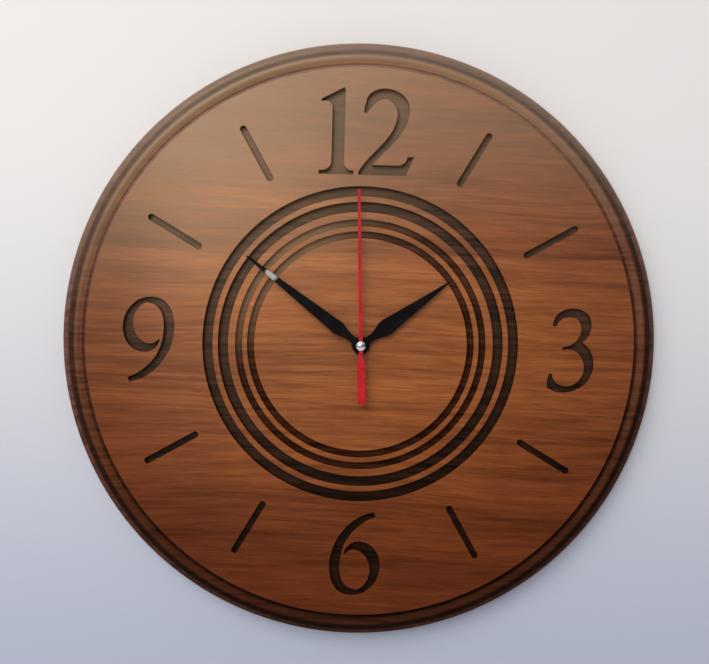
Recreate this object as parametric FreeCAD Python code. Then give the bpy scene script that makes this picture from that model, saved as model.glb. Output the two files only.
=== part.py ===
import FreeCAD, Part

import math
import os

# A round routed wooden wall clock. Millimetres. 12 is up at +Z, the face looks towards -Y, and the
# back of the board lies on the wall plane Y = 0. The shapes are drawn round the hands' axis, X = Z = 0,
# and are lowered at the end so that the origin is the keyhole that the clock hangs by.

# Board
board_radius = 200.0
board_thickness = 26.0
back_edge_round = 1.0
stem_hole_radius = 4.25

# Rim moulding, as widths out from the flat face's edge and depths below the face
rim_width = 19.8
face_edge_round = 0.6
step_depth = 6.6
step_draft = 0.7
quirk_width = 3.0
bead_crest_width = 6.9
bead_crest_depth = 4.9
bead_end_width = 12.9
bead_end_depth = 13.4
ledge_width = 14.1
ledge_depth = 16.6
edge_land_depth = 22.0
edge_round_share = 0.72
arc_steps = 3

# Ring grooves round the hands, by the radius of their middle line
cove_ring_radii = (72.1, 79.9)
cove_ring_width = 4.4
cove_ring_depth = 2.1
flat_ring_radii = (90.2, 100.3)
flat_ring_width = 6.4
sunk_depth = 4.0

# Bar slots at the eight hours without a numeral
hours_on_dial = 12
bar_slot_inner_radius = 121.8
bar_slot_outer_radius = 161.5
bar_slot_width = 4.0

# Numerals
figure_height = 55.6
figure_ring_radius = 138.8
figure_one_offset = -19.1
figure_two_offset = 13.3

# Movement pocket in the back of the board
front_wood = 8.0
pocket_clearance = 2.0
pocket_corner = 4.0

# Movement case
case_size = 56.0
case_corner = 3.0
case_wall = 1.4
cover_thickness = 1.4
gasket_thickness = 0.8
gasket_radius = 12.0
battery_radius = 7.25
battery_length = 50.5
battery_nub_length = 1.3
battery_nub_radius = 2.75
battery_end_round = 0.8
battery_clearance = 0.3
bay_wall = 0.8

# Threaded stem, washer and nut
stem_radius = 4.0
stem_stand_out = 3.0
stem_chamfer = 0.4
washer_radius = 5.9
washer_thickness = 0.5
nut_across_flats = 11.0
nut_thickness = 2.2
thread_play = 0.04

# Fits
running_play = 0.05
push_fit = 0.01
overrun = 1.0

# Train: module of each mesh, and the tooth counts
module_cannon = 0.40
module_seconds_third = 0.30
module_fifth_seconds = 0.28
module_rotor_fifth = 0.27
teeth_rotor = 8
teeth_fifth_wheel = 40
teeth_fifth_pinion = 10
teeth_seconds_wheel = 60
teeth_seconds_pinion = 8
teeth_third_wheel = 60
teeth_third_pinion = 8
teeth_centre_wheel = 64
teeth_cannon = 12
teeth_minute_work_wheel = 36
teeth_minute_work_pinion = 10
teeth_hour_wheel = 40
teeth_knob = 18

# Directions from one arbor to the next, in degrees from +X towards +Z
third_direction = 0.0
minute_work_direction = 180.0
fifth_direction = 120.0
rotor_direction = 75.0
knob_direction = 120.0

# Tooth proportions: addendum and dedendum in modules, widths as shares of the pitch
wheel_tooth_shares = (0.9, 1.3, 0.24, 0.72)
pinion_tooth_shares = (0.85, 1.35, 0.22, 0.62)

# Layers of the train, from the case's front wall to the back
end_play = 0.4
motion_wheel_thickness = 1.0
train_wheel_thickness = 0.8
layer_gap = 0.4
pinion_gap = 0.6
plate_thickness = 1.0

# Arbors, tubes and pivots
hour_tube_radius = 2.5
minute_tube_radius = 1.75
second_arbor_radius = 0.55
thin_arbor_radius = 0.42
third_arbor_radius = 0.45
post_radius = 0.9
boss_wall = 1.1
pivot_depth = 1.2

# Stepping motor
magnet_radius = 2.7
magnet_length = 1.8
rotor_hub_radius = 1.2
stator_bore_radius = 3.05
stator_ring_width = 1.0
stator_thickness = 0.9
stator_bar_half_height = 2.0
stator_leg_width = 3.4
stator_notch_radius = 0.4
core_height = 2.6
core_thickness = 1.0
core_left_reach = 15.0
core_right_reach = 16.0
core_wall_gap = 4.3
winding_length = 18.4
winding_radius = 3.4
bobbin_flange = 0.8
bobbin_flange_radius = 3.9
bobbin_tube_radius = 1.9
motor_peg_radius = 0.95
window_clearance = 0.4

# Plate pillars and pegs
pillar_radius = 2.2
pillar_inset = 3.1
peg_radius = 1.0
peg_stand_out = 0.6

# Circuit board and what it carries
circuit_width = 8.8
circuit_bottom = 1.35
circuit_top = 17.5
circuit_thickness = 0.8
circuit_stand_off = 2.4
circuit_post_radius = 1.4
circuit_pin_radius = 0.7
circuit_post_inset = 4.4
crystal_radius = 1.0
crystal_length = 6.2
crystal_inset = 6.4
crystal_bottom = 4.0
chip_radius = 2.6
chip_height = 1.1
chip_inset = 4.6
chip_level = -0.8

# Battery contacts
contact_thickness = 0.3
contact_half_height = 5.0
contact_depth = 10.5
contact_strip_width = 2.0
contact_leaf_width = 5.5
contact_leaf_half_span = 4.2
contact_tab_length = 2.4
contact_tab_reach = 1.4

# Setting knob
knob_radius = 4.9
knob_head_length = 2.6
knob_shaft_radius = 1.8
knob_pivot_radius = 0.7
knob_well_clearance = 0.3
knob_well_wall = 0.8
knob_flutes = 16
knob_flute_radius = 0.45
knob_slot_width = 1.0
knob_slot_depth = 0.9

# Hands: angles at rest, clockwise from 12
hour_angle = 52.9
minute_angle = 306.7
second_angle = -2.3
hand_thickness = 0.5
second_hand_thickness = 0.4
hour_hand_stand_off = 3.4
hand_pitch = 2.0
hour_hand_length = 72.5
hour_boss_radius = 5.6
hour_collar_radius = 3.6
hour_shoulder_half_width = 5.1
minute_hand_length = 94.0
minute_boss_radius = 4.6
minute_collar_radius = 2.9
minute_shoulder_half_width = 4.4
collar_length = 0.6
second_hand_length = 101.0
second_tail_length = 38.5
second_tail_half_width = 2.6
second_tail_taper = 6.5
second_tail_corner = 0.8
second_neck_half_width = 1.3
second_neck_length = 5.5
second_tip_half_width = 0.9
second_collar_radius = 1.0
cap_radius = 3.05
cap_edge = 0.5
cap_dome = 1.2

# Keyhole hanger
hanger_height = 125.0
hanger_length = 46.0
hanger_width = 24.0
hanger_thickness = 1.5
hanger_clearance = 0.3
keyhole_radius = 4.5
keyhole_slot_width = 4.4
keyhole_run = 10.0
hanger_cavity_radius = 5.6
hanger_cavity_depth = 8.0
hanger_screw_spread = 32.0
screw_shank_radius = 1.75
screw_head_radius = 3.6
screw_length = 13.0
screw_cross_length = 3.6
screw_cross_width = 0.8
screw_cross_depth = 0.7

# Numeral outlines, in shares of the figure's height from the middle of its foot. A stretch of two
# points is straight, and a longer one is a smooth curve through its points.
figure_one_shares = [
    [(-0.185, 0.865), (0.07, 1.0)],
    [(0.07, 1.0), (0.085, 0.985)],
    [(0.085, 0.985), (0.085, 0.14)],
    [(0.085, 0.14), (0.11, 0.075), (0.2, 0.04)],
    [(0.2, 0.04), (0.2, 0.0)],
    [(0.2, 0.0), (-0.2, 0.0)],
    [(-0.2, 0.0), (-0.2, 0.04)],
    [(-0.2, 0.04), (-0.085, 0.075), (-0.055, 0.14)],
    [(-0.055, 0.14), (-0.055, 0.77)],
    [(-0.055, 0.77), (-0.08, 0.825), (-0.185, 0.84)],
    [(-0.185, 0.84), (-0.185, 0.865)],
]
figure_two_shares = [
    [(-0.275, 0.72), (-0.26, 0.8), (-0.235, 0.9)],
    [(-0.235, 0.9), (-0.01, 1.0), (0.225, 0.87), (0.24, 0.65), (0.13, 0.44), (-0.165, 0.115)],
    [(-0.165, 0.115), (0.16, 0.115)],
    [(0.16, 0.115), (0.215, 0.145), (0.25, 0.215)],
    [(0.25, 0.215), (0.32, 0.22)],
    [(0.32, 0.22), (0.23, 0.0)],
    [(0.23, 0.0), (-0.32, 0.0)],
    [(-0.32, 0.0), (-0.32, 0.03)],
    [(-0.32, 0.03), (-0.055, 0.35), (0.1, 0.59), (0.105, 0.78), (-0.02, 0.885), (-0.17, 0.81),
     (-0.235, 0.72)],
    [(-0.235, 0.72), (-0.275, 0.72)],
]
figure_three_shares = [
    [(-0.225, 0.79), (-0.17, 0.93), (0.02, 1.0), (0.205, 0.9), (0.215, 0.72), (0.125, 0.6)],
    [(0.125, 0.6), (0.245, 0.46), (0.25, 0.22), (0.09, 0.045), (-0.08, 0.0), (-0.27, 0.055)],
    [(-0.27, 0.055), (-0.27, 0.14), (-0.25, 0.22)],
    [(-0.25, 0.22), (-0.22, 0.22)],
    [(-0.22, 0.22), (-0.14, 0.095), (0.02, 0.085), (0.14, 0.2), (0.15, 0.37), (0.06, 0.49), (-0.1, 0.505)],
    [(-0.1, 0.505), (-0.1, 0.54)],
    [(-0.1, 0.54), (0.03, 0.59), (0.11, 0.72), (0.06, 0.875), (-0.08, 0.89), (-0.185, 0.785)],
    [(-0.185, 0.785), (-0.225, 0.79)],
]
figure_nine_shares = [
    [(-0.215, 0.0), (0.05, 0.125), (0.24, 0.38), (0.3, 0.67), (0.22, 0.92), (0.0, 1.0)],
    [(0.0, 1.0), (-0.215, 0.885), (-0.3, 0.65), (-0.2, 0.41), (-0.04, 0.355), (0.125, 0.475)],
    [(0.125, 0.475), (0.13, 0.515)],
    [(0.13, 0.515), (-0.02, 0.455), (-0.155, 0.57), (-0.17, 0.79), (-0.03, 0.94)],
    [(-0.03, 0.94), (0.13, 0.86), (0.18, 0.64), (0.11, 0.345), (-0.05, 0.155), (-0.235, 0.05)],
    [(-0.235, 0.05), (-0.215, 0.0)],
]

# Hand outlines: places along the blade as shares of its length, half widths as shares of the shoulder's
hour_blade_shares = [(0.11, 0.48), (0.19, 0.68), (0.25, 0.98), (0.32, 1.0), (0.62, 0.62), (1.0, 0.07)]
minute_blade_shares = [(0.1, 0.52), (0.145, 0.72), (0.185, 0.98), (0.235, 0.98), (0.56, 0.57), (1.0, 0.14)]

# Worked out from the sizes above
half_case = case_size / 2
case_inner = half_case - case_wall
face_y = -board_thickness
face_radius = board_radius - rim_width
pocket_floor_y = face_y + front_wood
case_front_y = pocket_floor_y + gasket_thickness
battery_axis_layer = case_wall + battery_clearance / 2 + battery_radius
case_depth = battery_axis_layer + battery_radius + battery_clearance / 2
cover_layer = case_depth - cover_thickness
bay_bottom = -case_inner
bay_top = bay_bottom + 2 * battery_radius + 2 * battery_clearance
battery_axis_z = bay_bottom + battery_clearance + battery_radius
train_bottom = bay_top + bay_wall
stem_tip_y = face_y - stem_stand_out

notch_reach = 3 * contact_thickness
hour_layer = case_wall + end_play
motion_layer = hour_layer + motion_wheel_thickness + layer_gap
work_post_layer = motion_layer + motion_wheel_thickness + layer_gap / 2
centre_layer = motion_layer + motion_wheel_thickness + layer_gap
plate_layer = centre_layer + train_wheel_thickness + layer_gap
plate_top = plate_layer + plate_thickness
third_layer = plate_top + layer_gap
seconds_layer = third_layer + train_wheel_thickness + pinion_gap
fifth_layer = seconds_layer + train_wheel_thickness + pinion_gap
pivot_layer = cover_layer - pivot_depth

third_distance = (teeth_seconds_pinion + teeth_third_wheel) * module_seconds_third / 2
module_third_centre = 2 * third_distance / (teeth_third_pinion + teeth_centre_wheel)
minute_work_distance = (teeth_cannon + teeth_minute_work_wheel) * module_cannon / 2
module_hour = 2 * minute_work_distance / (teeth_minute_work_pinion + teeth_hour_wheel)
fifth_distance = (teeth_seconds_wheel + teeth_fifth_pinion) * module_fifth_seconds / 2
rotor_distance = (teeth_fifth_wheel + teeth_rotor) * module_rotor_fifth / 2
knob_distance = (teeth_minute_work_wheel + teeth_knob) * module_cannon / 2


def step_from(place, distance, degrees):
    """The point at a distance and direction from another, in the plane of the dial."""
    turn = math.radians(degrees)
    return (place[0] + distance * math.cos(turn), place[1] + distance * math.sin(turn))


main_at = (0, 0)
third_at = step_from(main_at, third_distance, third_direction)
minute_work_at = step_from(main_at, minute_work_distance, minute_work_direction)
fifth_at = step_from(main_at, fifth_distance, fifth_direction)
rotor_at = step_from(fifth_at, rotor_distance, rotor_direction)
knob_at = step_from(minute_work_at, knob_distance, knob_direction)

core_z = case_inner - core_wall_gap
stator_layer = third_layer + train_wheel_thickness
core_layer = stator_layer + stator_thickness
coil_axis_layer = core_layer + core_thickness / 2
left_peg_x = -core_left_reach + stator_leg_width / 2
right_peg_x = core_right_reach - stator_leg_width / 2
winding_left_x = (left_peg_x + right_peg_x - winding_length) / 2
winding_right_x = winding_left_x + winding_length
clip_levels = (core_z - 2 * pillar_radius, train_bottom + 4 * pillar_radius)
circuit_layer = plate_top + circuit_stand_off
circuit_right_x = case_inner - push_fit
circuit_left_x = circuit_right_x - circuit_width
circuit_bottom_z = train_bottom + circuit_bottom
circuit_back_layer = circuit_layer + circuit_thickness
positive_end_x = case_inner - contact_thickness
negative_end_x = positive_end_x - battery_length
hour_hand_y = face_y - hour_hand_stand_off
minute_hand_y = hour_hand_y - hand_pitch
second_hand_y = minute_hand_y - hand_pitch
keyhole_z = hanger_height - keyhole_run / 2
keyhole_end_z = hanger_height + keyhole_run / 2

along_y = FreeCAD.Vector(0, 1, 0)
origin = FreeCAD.Vector(0, 0, 0)


def layer_y(layer):
    """Y of a depth counted from the movement case's front."""
    return case_front_y + layer


def point(x, y, z):
    return FreeCAD.Vector(x, y, z)


def disc(place, radius, y_front, y_back):
    """A cylinder along Y at a place (x, z) between two depths."""
    return Part.makeCylinder(radius, y_back - y_front, point(place[0], y_front, place[1]), along_y)


def tube(place, radius, bore, y_front, y_back):
    outer = disc(place, radius, y_front, y_back)
    return outer.cut(disc(place, bore, y_front - overrun, y_back + overrun))


def cone(place, front_radius, back_radius, y_front, y_back):
    return Part.makeCone(front_radius, back_radius, y_back - y_front,
                         point(place[0], y_front, place[1]), along_y)


def block(x_low, x_high, y_front, y_back, z_low, z_high):
    return Part.makeBox(x_high - x_low, y_back - y_front, z_high - z_low, point(x_low, y_front, z_low))


def extrude(wire, y_front, y_back):
    """A prism along Y from a closed wire drawn at Y = 0."""
    face = Part.Face(wire)
    face.translate(point(0, y_front, 0))
    return face.extrude(point(0, y_back - y_front, 0))


def rounded_block(x_low, x_high, z_low, z_high, corner, y_front, y_back):
    box = block(x_low, x_high, y_front, y_back, z_low, z_high)
    depth = y_back - y_front
    edges = [edge for edge in box.Edges if edge.BoundBox.YLength > depth / 2]
    return box.makeFillet(corner, edges)


def stadium(start, end, radius, y_front, y_back):
    """A round-ended bar between two places (x, z)."""
    run_x, run_z = end[0] - start[0], end[1] - start[1]
    length = math.hypot(run_x, run_z)
    across_x, across_z = -run_z / length * radius, run_x / length * radius
    ahead_x, ahead_z = run_x / length * radius, run_z / length * radius
    corners = [point(start[0] + across_x, 0, start[1] + across_z),
               point(start[0] - across_x, 0, start[1] - across_z),
               point(end[0] - across_x, 0, end[1] - across_z),
               point(end[0] + across_x, 0, end[1] + across_z)]
    start_cap = Part.Arc(corners[0], point(start[0] - ahead_x, 0, start[1] - ahead_z), corners[1]).toShape()
    end_cap = Part.Arc(corners[2], point(end[0] + ahead_x, 0, end[1] + ahead_z), corners[3]).toShape()
    sides = [Part.makeLine(corners[1], corners[2]), Part.makeLine(corners[3], corners[0])]
    return extrude(Part.Wire([start_cap, sides[0], end_cap, sides[1]]), y_front, y_back)


def stretch_edge(points):
    """A straight edge for two points, or one smooth curve through more."""
    if len(points) == 2:
        return Part.makeLine(points[0], points[1])
    curve = Part.BSplineCurve()
    curve.interpolate(points)
    return curve.toShape()


def outline_wire(stretches):
    return Part.Wire([stretch_edge(points) for points in stretches])


def dome(place, radius, height, base_y, side):
    """The cap of a ball, standing out from a flat foot towards the back (side 1) or the front (side -1)."""
    ball_radius = (radius ** 2 + height ** 2) / (2 * height)
    middle_y = base_y + side * (height - ball_radius)
    ball = Part.makeSphere(ball_radius, point(place[0], middle_y, place[1]))
    y_front, y_back = sorted((base_y, base_y + side * (height + overrun)))
    return ball.common(disc(place, ball_radius, y_front, y_back))


def fuse_all(shapes):
    return shapes[0].multiFuse(shapes[1:]).removeSplitter() if len(shapes) > 1 else shapes[0]


def cut_all(shape, tools):
    return shape.cut(Part.makeCompound(tools)) if tools else shape


def turned(shape, degrees):
    """Turned about the hands' axis, clockwise as seen from the front."""
    shape.rotate(origin, along_y, degrees)
    return shape


nodes = {}


def keep(name, shape):
    nodes[name] = shape


# Dial board

def rim_and_face_profile():
    """Half section of the board as (radius, depth below the face) stretches, from the centre hole
    out over the grooves and the rim and back along the wall plane."""
    stretches = []
    here = (stem_hole_radius, 0)
    coves = [(r, cove_ring_width, cove_ring_depth, True) for r in cove_ring_radii]
    flats = [(r, flat_ring_width, sunk_depth, False) for r in flat_ring_radii]
    for radius, width, depth, is_cove in sorted(coves + flats):
        inner, outer = radius - width / 2, radius + width / 2
        stretches.append([here, (inner, 0)])
        if is_cove:
            stretches.append([(inner, 0), (radius, depth), (outer, 0)])
        else:
            stretches.append([(inner, 0), (inner, depth)])
            stretches.append([(inner, depth), (outer, depth)])
            stretches.append([(outer, depth), (outer, 0)])
        here = (outer, 0)
    step_foot = (face_radius + step_draft, step_depth)
    bead_start = (face_radius + quirk_width, step_depth)
    bead_crest = (face_radius + bead_crest_width, bead_crest_depth)
    bead_end = (face_radius + bead_end_width, bead_end_depth)
    ledge_inner = (bead_end[0], ledge_depth)
    ledge_outer = (face_radius + ledge_width, ledge_depth)
    edge_land = (board_radius, edge_land_depth)
    edge_bulge = (ledge_outer[0] + (board_radius - ledge_outer[0]) * edge_round_share,
                  edge_land_depth - (edge_land_depth - ledge_depth) * edge_round_share)
    round_start = (face_radius - face_edge_round, 0)
    round_end = (face_radius, face_edge_round)
    stretches.append([here, round_start])
    stretches.append([round_start, round_end])
    stretches.append([round_end, step_foot])
    stretches.append([step_foot, bead_start])
    stretches.append([bead_start, bead_crest, bead_end])
    stretches.append([bead_end, ledge_inner])
    stretches.append([ledge_inner, ledge_outer])
    stretches.append([ledge_outer, edge_bulge, edge_land])
    back_start = (board_radius, board_thickness - back_edge_round)
    back_end = (board_radius - back_edge_round, board_thickness)
    hole_back = (stem_hole_radius, board_thickness)
    stretches.append([edge_land, back_start])
    stretches.append([back_start, back_end])
    stretches.append([back_end, hole_back])
    stretches.append([hole_back, (stem_hole_radius, 0)])
    return stretches


def profile_points(stretch):
    """Places along a stretch of the half section: its ends, or short steps round an arc."""
    places = [point(radius, face_y + depth, 0) for radius, depth in stretch]
    if len(places) == 2:
        return places
    return Part.Arc(places[0], places[1], places[2]).toShape().discretize(arc_steps + 1)


def figure_pocket(shares, middle_x, middle_z, upside_down=False):
    """The pocket of one numeral, cut down from the face."""
    sign = -1 if upside_down else 1
    foot_z = middle_z - sign * figure_height / 2
    stretches = [[point(middle_x + sign * x * figure_height, 0, foot_z + sign * z * figure_height)
                  for x, z in stretch] for stretch in shares]
    return extrude(outline_wire(stretches), face_y - overrun, face_y + sunk_depth)


def figure_pockets():
    return [
        figure_pocket(figure_one_shares, figure_one_offset, figure_ring_radius),
        figure_pocket(figure_two_shares, figure_two_offset, figure_ring_radius),
        figure_pocket(figure_three_shares, figure_ring_radius, 0),
        figure_pocket(figure_nine_shares, 0, -figure_ring_radius, upside_down=True),
        figure_pocket(figure_nine_shares, -figure_ring_radius, 0),
    ]


def bar_slots():
    """Round-ended slots at every hour but 12, 3, 6 and 9."""
    end_radius = bar_slot_width / 2
    slots = []
    for hour in range(hours_on_dial):
        if hour % (hours_on_dial // 4) == 0:
            continue
        turn = 2 * math.pi * hour / hours_on_dial
        start = ((bar_slot_inner_radius + end_radius) * math.sin(turn),
                 (bar_slot_inner_radius + end_radius) * math.cos(turn))
        end = ((bar_slot_outer_radius - end_radius) * math.sin(turn),
               (bar_slot_outer_radius - end_radius) * math.cos(turn))
        slots.append(stadium(start, end, end_radius, face_y - overrun, face_y + sunk_depth))
    return slots


def hanger_ends(inset):
    reach = hanger_length / 2 - hanger_width / 2
    return (-reach, hanger_height), (reach, hanger_height), hanger_width / 2 + inset


def screw_places():
    return [(side * hanger_screw_spread / 2, hanger_height) for side in (-1, 1)]


def dial_board():
    outline = []
    for stretch in rim_and_face_profile():
        outline += profile_points(stretch)[:-1]
    half_section = Part.Face(Part.makePolygon(outline + outline[:1]))
    board = half_section.revolve(origin, along_y, 360)
    half_pocket = half_case + pocket_clearance
    pocket = rounded_block(-half_pocket, half_pocket, -half_pocket, half_pocket, pocket_corner,
                           pocket_floor_y, overrun)
    left, right, radius = hanger_ends(hanger_clearance)
    recess = stadium(left, right, radius, -hanger_thickness, overrun)
    run_ends = (0, keyhole_z), (0, keyhole_end_z)
    cavity = stadium(*run_ends, hanger_cavity_radius, -hanger_cavity_depth, overrun)
    pilot_radius = screw_shank_radius + push_fit
    pilots = [disc(place, pilot_radius, -screw_length, overrun) for place in screw_places()]
    return cut_all(board, figure_pockets() + bar_slots() + [pocket, recess, cavity] + pilots)


keep("dial_board", dial_board())


# Keyhole hanger

def hanger_plate():
    left, right, radius = hanger_ends(0)
    plate = stadium(left, right, radius, -hanger_thickness, 0)
    run_ends = (0, keyhole_z), (0, keyhole_end_z)
    cut_front = -hanger_thickness - overrun
    entry = disc(run_ends[0], keyhole_radius, cut_front, overrun)
    run = stadium(*run_ends, keyhole_slot_width / 2, cut_front, overrun)
    holes = [cone(place, screw_shank_radius + push_fit, screw_head_radius + push_fit, -hanger_thickness, 0)
             for place in screw_places()]
    return cut_all(plate, [entry, run] + holes)


def hanger_screw(place):
    head = cone(place, screw_shank_radius, screw_head_radius, -hanger_thickness, 0)
    shank = disc(place, screw_shank_radius, -screw_length, -hanger_thickness)
    half_long, half_wide = screw_cross_length / 2, screw_cross_width / 2
    cross = [block(place[0] - half_long, place[0] + half_long, -screw_cross_depth, overrun,
                   place[1] - half_wide, place[1] + half_wide),
             block(place[0] - half_wide, place[0] + half_wide, -screw_cross_depth, overrun,
                   place[1] - half_long, place[1] + half_long)]
    return cut_all(fuse_all([head, shank]), cross)


keep("hanger_plate", hanger_plate())
keep("hanger_screws", Part.makeCompound([hanger_screw(place) for place in screw_places()]))


# Movement case

def corner_pillars():
    """Places of the four pillars that carry the middle plate."""
    side = case_inner - pillar_inset
    low = train_bottom + pillar_radius
    return [(-side, side), (side, side), (-side, low), (side, low)]


def pivot_boss(place, arbor_radius, front_layer, back_layer):
    return disc(place, arbor_radius + running_play + boss_wall, layer_y(front_layer), layer_y(back_layer))


def case_prism(half_side, corner, front_layer, back_layer):
    return rounded_block(-half_side, half_side, -half_side, half_side, corner,
                         layer_y(front_layer), layer_y(back_layer))


def strip_notch(side):
    """A notch at one end of the divider, where a battery contact's strip passes."""
    x_low, x_high = sorted((side * case_inner, side * (case_inner - notch_reach)))
    notch_front = layer_y(circuit_back_layer - contact_thickness)
    return block(x_low, x_high, notch_front, layer_y(cover_layer + overrun),
                 bay_top - overrun, train_bottom + overrun)


def front_case():
    shell = case_prism(half_case, case_corner, 0, cover_layer)
    hollow = case_prism(case_inner, case_corner - case_wall, case_wall, case_depth + overrun)
    # the battery bay's own walls run up to the battery's back, past the walls round the train
    bay_wall_ring = case_prism(half_case, case_corner, cover_layer, case_depth)
    above_bay = block(-half_case - overrun, half_case + overrun, layer_y(0), layer_y(case_depth + overrun),
                      bay_top, half_case + overrun)
    bay_wall_ring = bay_wall_ring.cut(above_bay)
    divider = block(-case_inner, case_inner, layer_y(case_wall), layer_y(cover_layer),
                    bay_top, train_bottom)
    wall_back = layer_y(case_wall)
    nose_back = stem_tip_y + stem_chamfer
    stem = disc(main_at, stem_radius, nose_back, wall_back)
    stem_nose = cone(main_at, stem_radius - stem_chamfer, stem_radius, stem_tip_y, nose_back)
    posts = [disc(minute_work_at, post_radius, wall_back, layer_y(work_post_layer)),
             pivot_boss(third_at, third_arbor_radius, case_wall, motion_layer),
             pivot_boss(knob_at, knob_pivot_radius, case_wall, motion_layer - layer_gap)]
    for place in corner_pillars():
        posts.append(disc(place, pillar_radius, wall_back, layer_y(plate_layer)))
        posts.append(disc(place, peg_radius, layer_y(plate_layer), layer_y(plate_top + peg_stand_out)))
    body = fuse_all([shell.cut(hollow), bay_wall_ring.cut(hollow), divider, stem, stem_nose] + posts)
    bores = [disc(main_at, hour_tube_radius + running_play, stem_tip_y - overrun, wall_back + overrun)]
    for place, radius in ((third_at, third_arbor_radius), (knob_at, knob_pivot_radius)):
        bores.append(disc(place, radius + running_play, wall_back, layer_y(motion_layer + overrun)))
    return cut_all(body, bores + [strip_notch(side) for side in (-1, 1)])


def plate_pins():
    """Pegs and posts of the middle plate: (place, radius, first layer, last layer)."""
    peg_end = core_layer + core_thickness + peg_stand_out
    shoulder = motor_peg_radius + boss_wall * 2 / 3
    pins = []
    for x in (left_peg_x, right_peg_x):
        pins.append(((x, core_z), shoulder, plate_layer, stator_layer))
        pins.append(((x, core_z), motor_peg_radius, stator_layer, peg_end))
    for place in circuit_posts():
        pins.append((place, circuit_post_radius, plate_layer, circuit_layer))
        pins.append((place, circuit_pin_radius, circuit_layer, circuit_back_layer + peg_stand_out))
    return pins


def circuit_posts():
    x = circuit_right_x - circuit_post_inset
    return [(x, circuit_top - circuit_post_inset / 2), (x, circuit_bottom_z + circuit_post_inset)]


def middle_plate():
    edge = case_inner - battery_clearance
    plate = rounded_block(-edge, edge, train_bottom + battery_clearance, edge, case_corner - case_wall,
                          layer_y(plate_layer), layer_y(plate_top))
    pins = [disc(place, radius, layer_y(front), layer_y(back))
            for place, radius, front, back in plate_pins()]
    cut_front, cut_back = layer_y(plate_layer - overrun), layer_y(plate_top + overrun)
    beyond_winding = bobbin_flange + window_clearance
    window = block(winding_left_x - beyond_winding, winding_right_x + beyond_winding, cut_front, cut_back,
                   core_z - bobbin_flange_radius - window_clearance, edge + overrun)
    pinion_clear = teeth_third_pinion * module_third_centre / 2 + module_third_centre + running_play
    holes = [(main_at, second_arbor_radius + running_play), (third_at, pinion_clear),
             (fifth_at, thin_arbor_radius + running_play), (rotor_at, thin_arbor_radius + running_play),
             (knob_at, knob_shaft_radius + running_play)]
    holes += [(place, peg_radius + push_fit) for place in corner_pillars()]
    cuts = [disc(place, radius, cut_front, cut_back) for place, radius in holes]
    return cut_all(fuse_all([plate.cut(window)] + pins), cuts)


def cover_clips():
    """Lugs of the rear cover that reach inside the side walls."""
    clips = []
    for side in (-1, 1):
        x_low, x_high = sorted((side * (case_inner - running_play), side * (case_inner - bay_wall)))
        for level in clip_levels:
            clips.append(block(x_low, x_high, layer_y(pivot_layer), layer_y(cover_layer),
                               level - pillar_radius, level + pillar_radius))
    return clips


def rear_cover():
    cover = case_prism(half_case, case_corner, cover_layer, case_depth)
    over_bay = block(-half_case - overrun, half_case + overrun, layer_y(cover_layer - overrun),
                     layer_y(case_depth + overrun), -half_case - overrun, bay_top)
    pivots = [(main_at, second_arbor_radius), (third_at, third_arbor_radius),
              (fifth_at, thin_arbor_radius), (rotor_at, thin_arbor_radius)]
    bosses = [pivot_boss(place, radius, pivot_layer, cover_layer) for place, radius in pivots]
    well_radius = knob_radius + knob_well_clearance
    well_floor = case_depth - knob_head_length - knob_well_clearance
    well_front = well_floor - knob_well_wall
    well = disc(knob_at, well_radius + knob_well_wall, layer_y(well_front), layer_y(cover_layer))
    cuts = [disc(knob_at, well_radius, layer_y(well_floor), layer_y(case_depth + overrun)),
            disc(knob_at, knob_shaft_radius + running_play, layer_y(well_front - overrun),
                 layer_y(case_depth + overrun))]
    for place, radius in pivots:
        cuts.append(disc(place, radius + running_play, layer_y(pivot_layer - overrun), layer_y(cover_layer)))
    return cut_all(fuse_all([cover.cut(over_bay), well] + bosses + cover_clips()), cuts)


def stem_nut():
    """Hexagon nut with its front corners turned off."""
    corner = nut_across_flats / 2 / math.cos(math.pi / 6)
    corners = []
    for k in range(6):
        corners.append(point(corner * math.cos(k * math.pi / 3), 0, corner * math.sin(k * math.pi / 3)))
    nut_back = face_y - washer_thickness
    nut_front = nut_back - nut_thickness
    nut = extrude(Part.makePolygon(corners + corners[:1]), nut_front, nut_back)
    flat_radius = nut_across_flats / 2
    crown = cone(main_at, flat_radius, flat_radius + nut_thickness, nut_front, nut_back)
    bore = disc(main_at, stem_radius + thread_play, nut_front - overrun, nut_back + overrun)
    return nut.common(crown).cut(bore)


def round_the_stem(radius, y_front, y_back):
    return tube(main_at, radius, stem_radius + thread_play, y_front, y_back)


keep("movement_front_case", front_case())
keep("middle_plate", middle_plate())
keep("movement_rear_cover", rear_cover())
keep("movement_gasket", round_the_stem(gasket_radius, pocket_floor_y, case_front_y))
keep("stem_washer", round_the_stem(washer_radius, face_y - washer_thickness, face_y))
keep("stem_nut", stem_nut())


# Train

def toothed_disc(place, teeth, module, shares, first_tooth, front_layer, back_layer):
    """A gear as a prism. first_tooth is the direction of one tooth's middle, in radians from +X to +Z."""
    addendum_share, dedendum_share, tip_share, root_share = shares
    pitch_radius = teeth * module / 2
    tip_radius = pitch_radius + addendum_share * module
    root_radius = pitch_radius - dedendum_share * module
    pitch_turn = 2 * math.pi / teeth
    outline = []
    for tooth in range(teeth):
        middle = first_tooth + tooth * pitch_turn
        for radius, turn in ((root_radius, -root_share), (tip_radius, -tip_share),
                             (tip_radius, tip_share), (root_radius, root_share)):
            angle = middle + turn * pitch_turn / 2
            outline.append(point(place[0] + radius * math.cos(angle), 0,
                                 place[1] + radius * math.sin(angle)))
    return extrude(Part.makePolygon(outline + outline[:1]), layer_y(front_layer), layer_y(back_layer))


def direction(start, end):
    return math.atan2(end[1] - start[1], end[0] - start[0])


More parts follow.
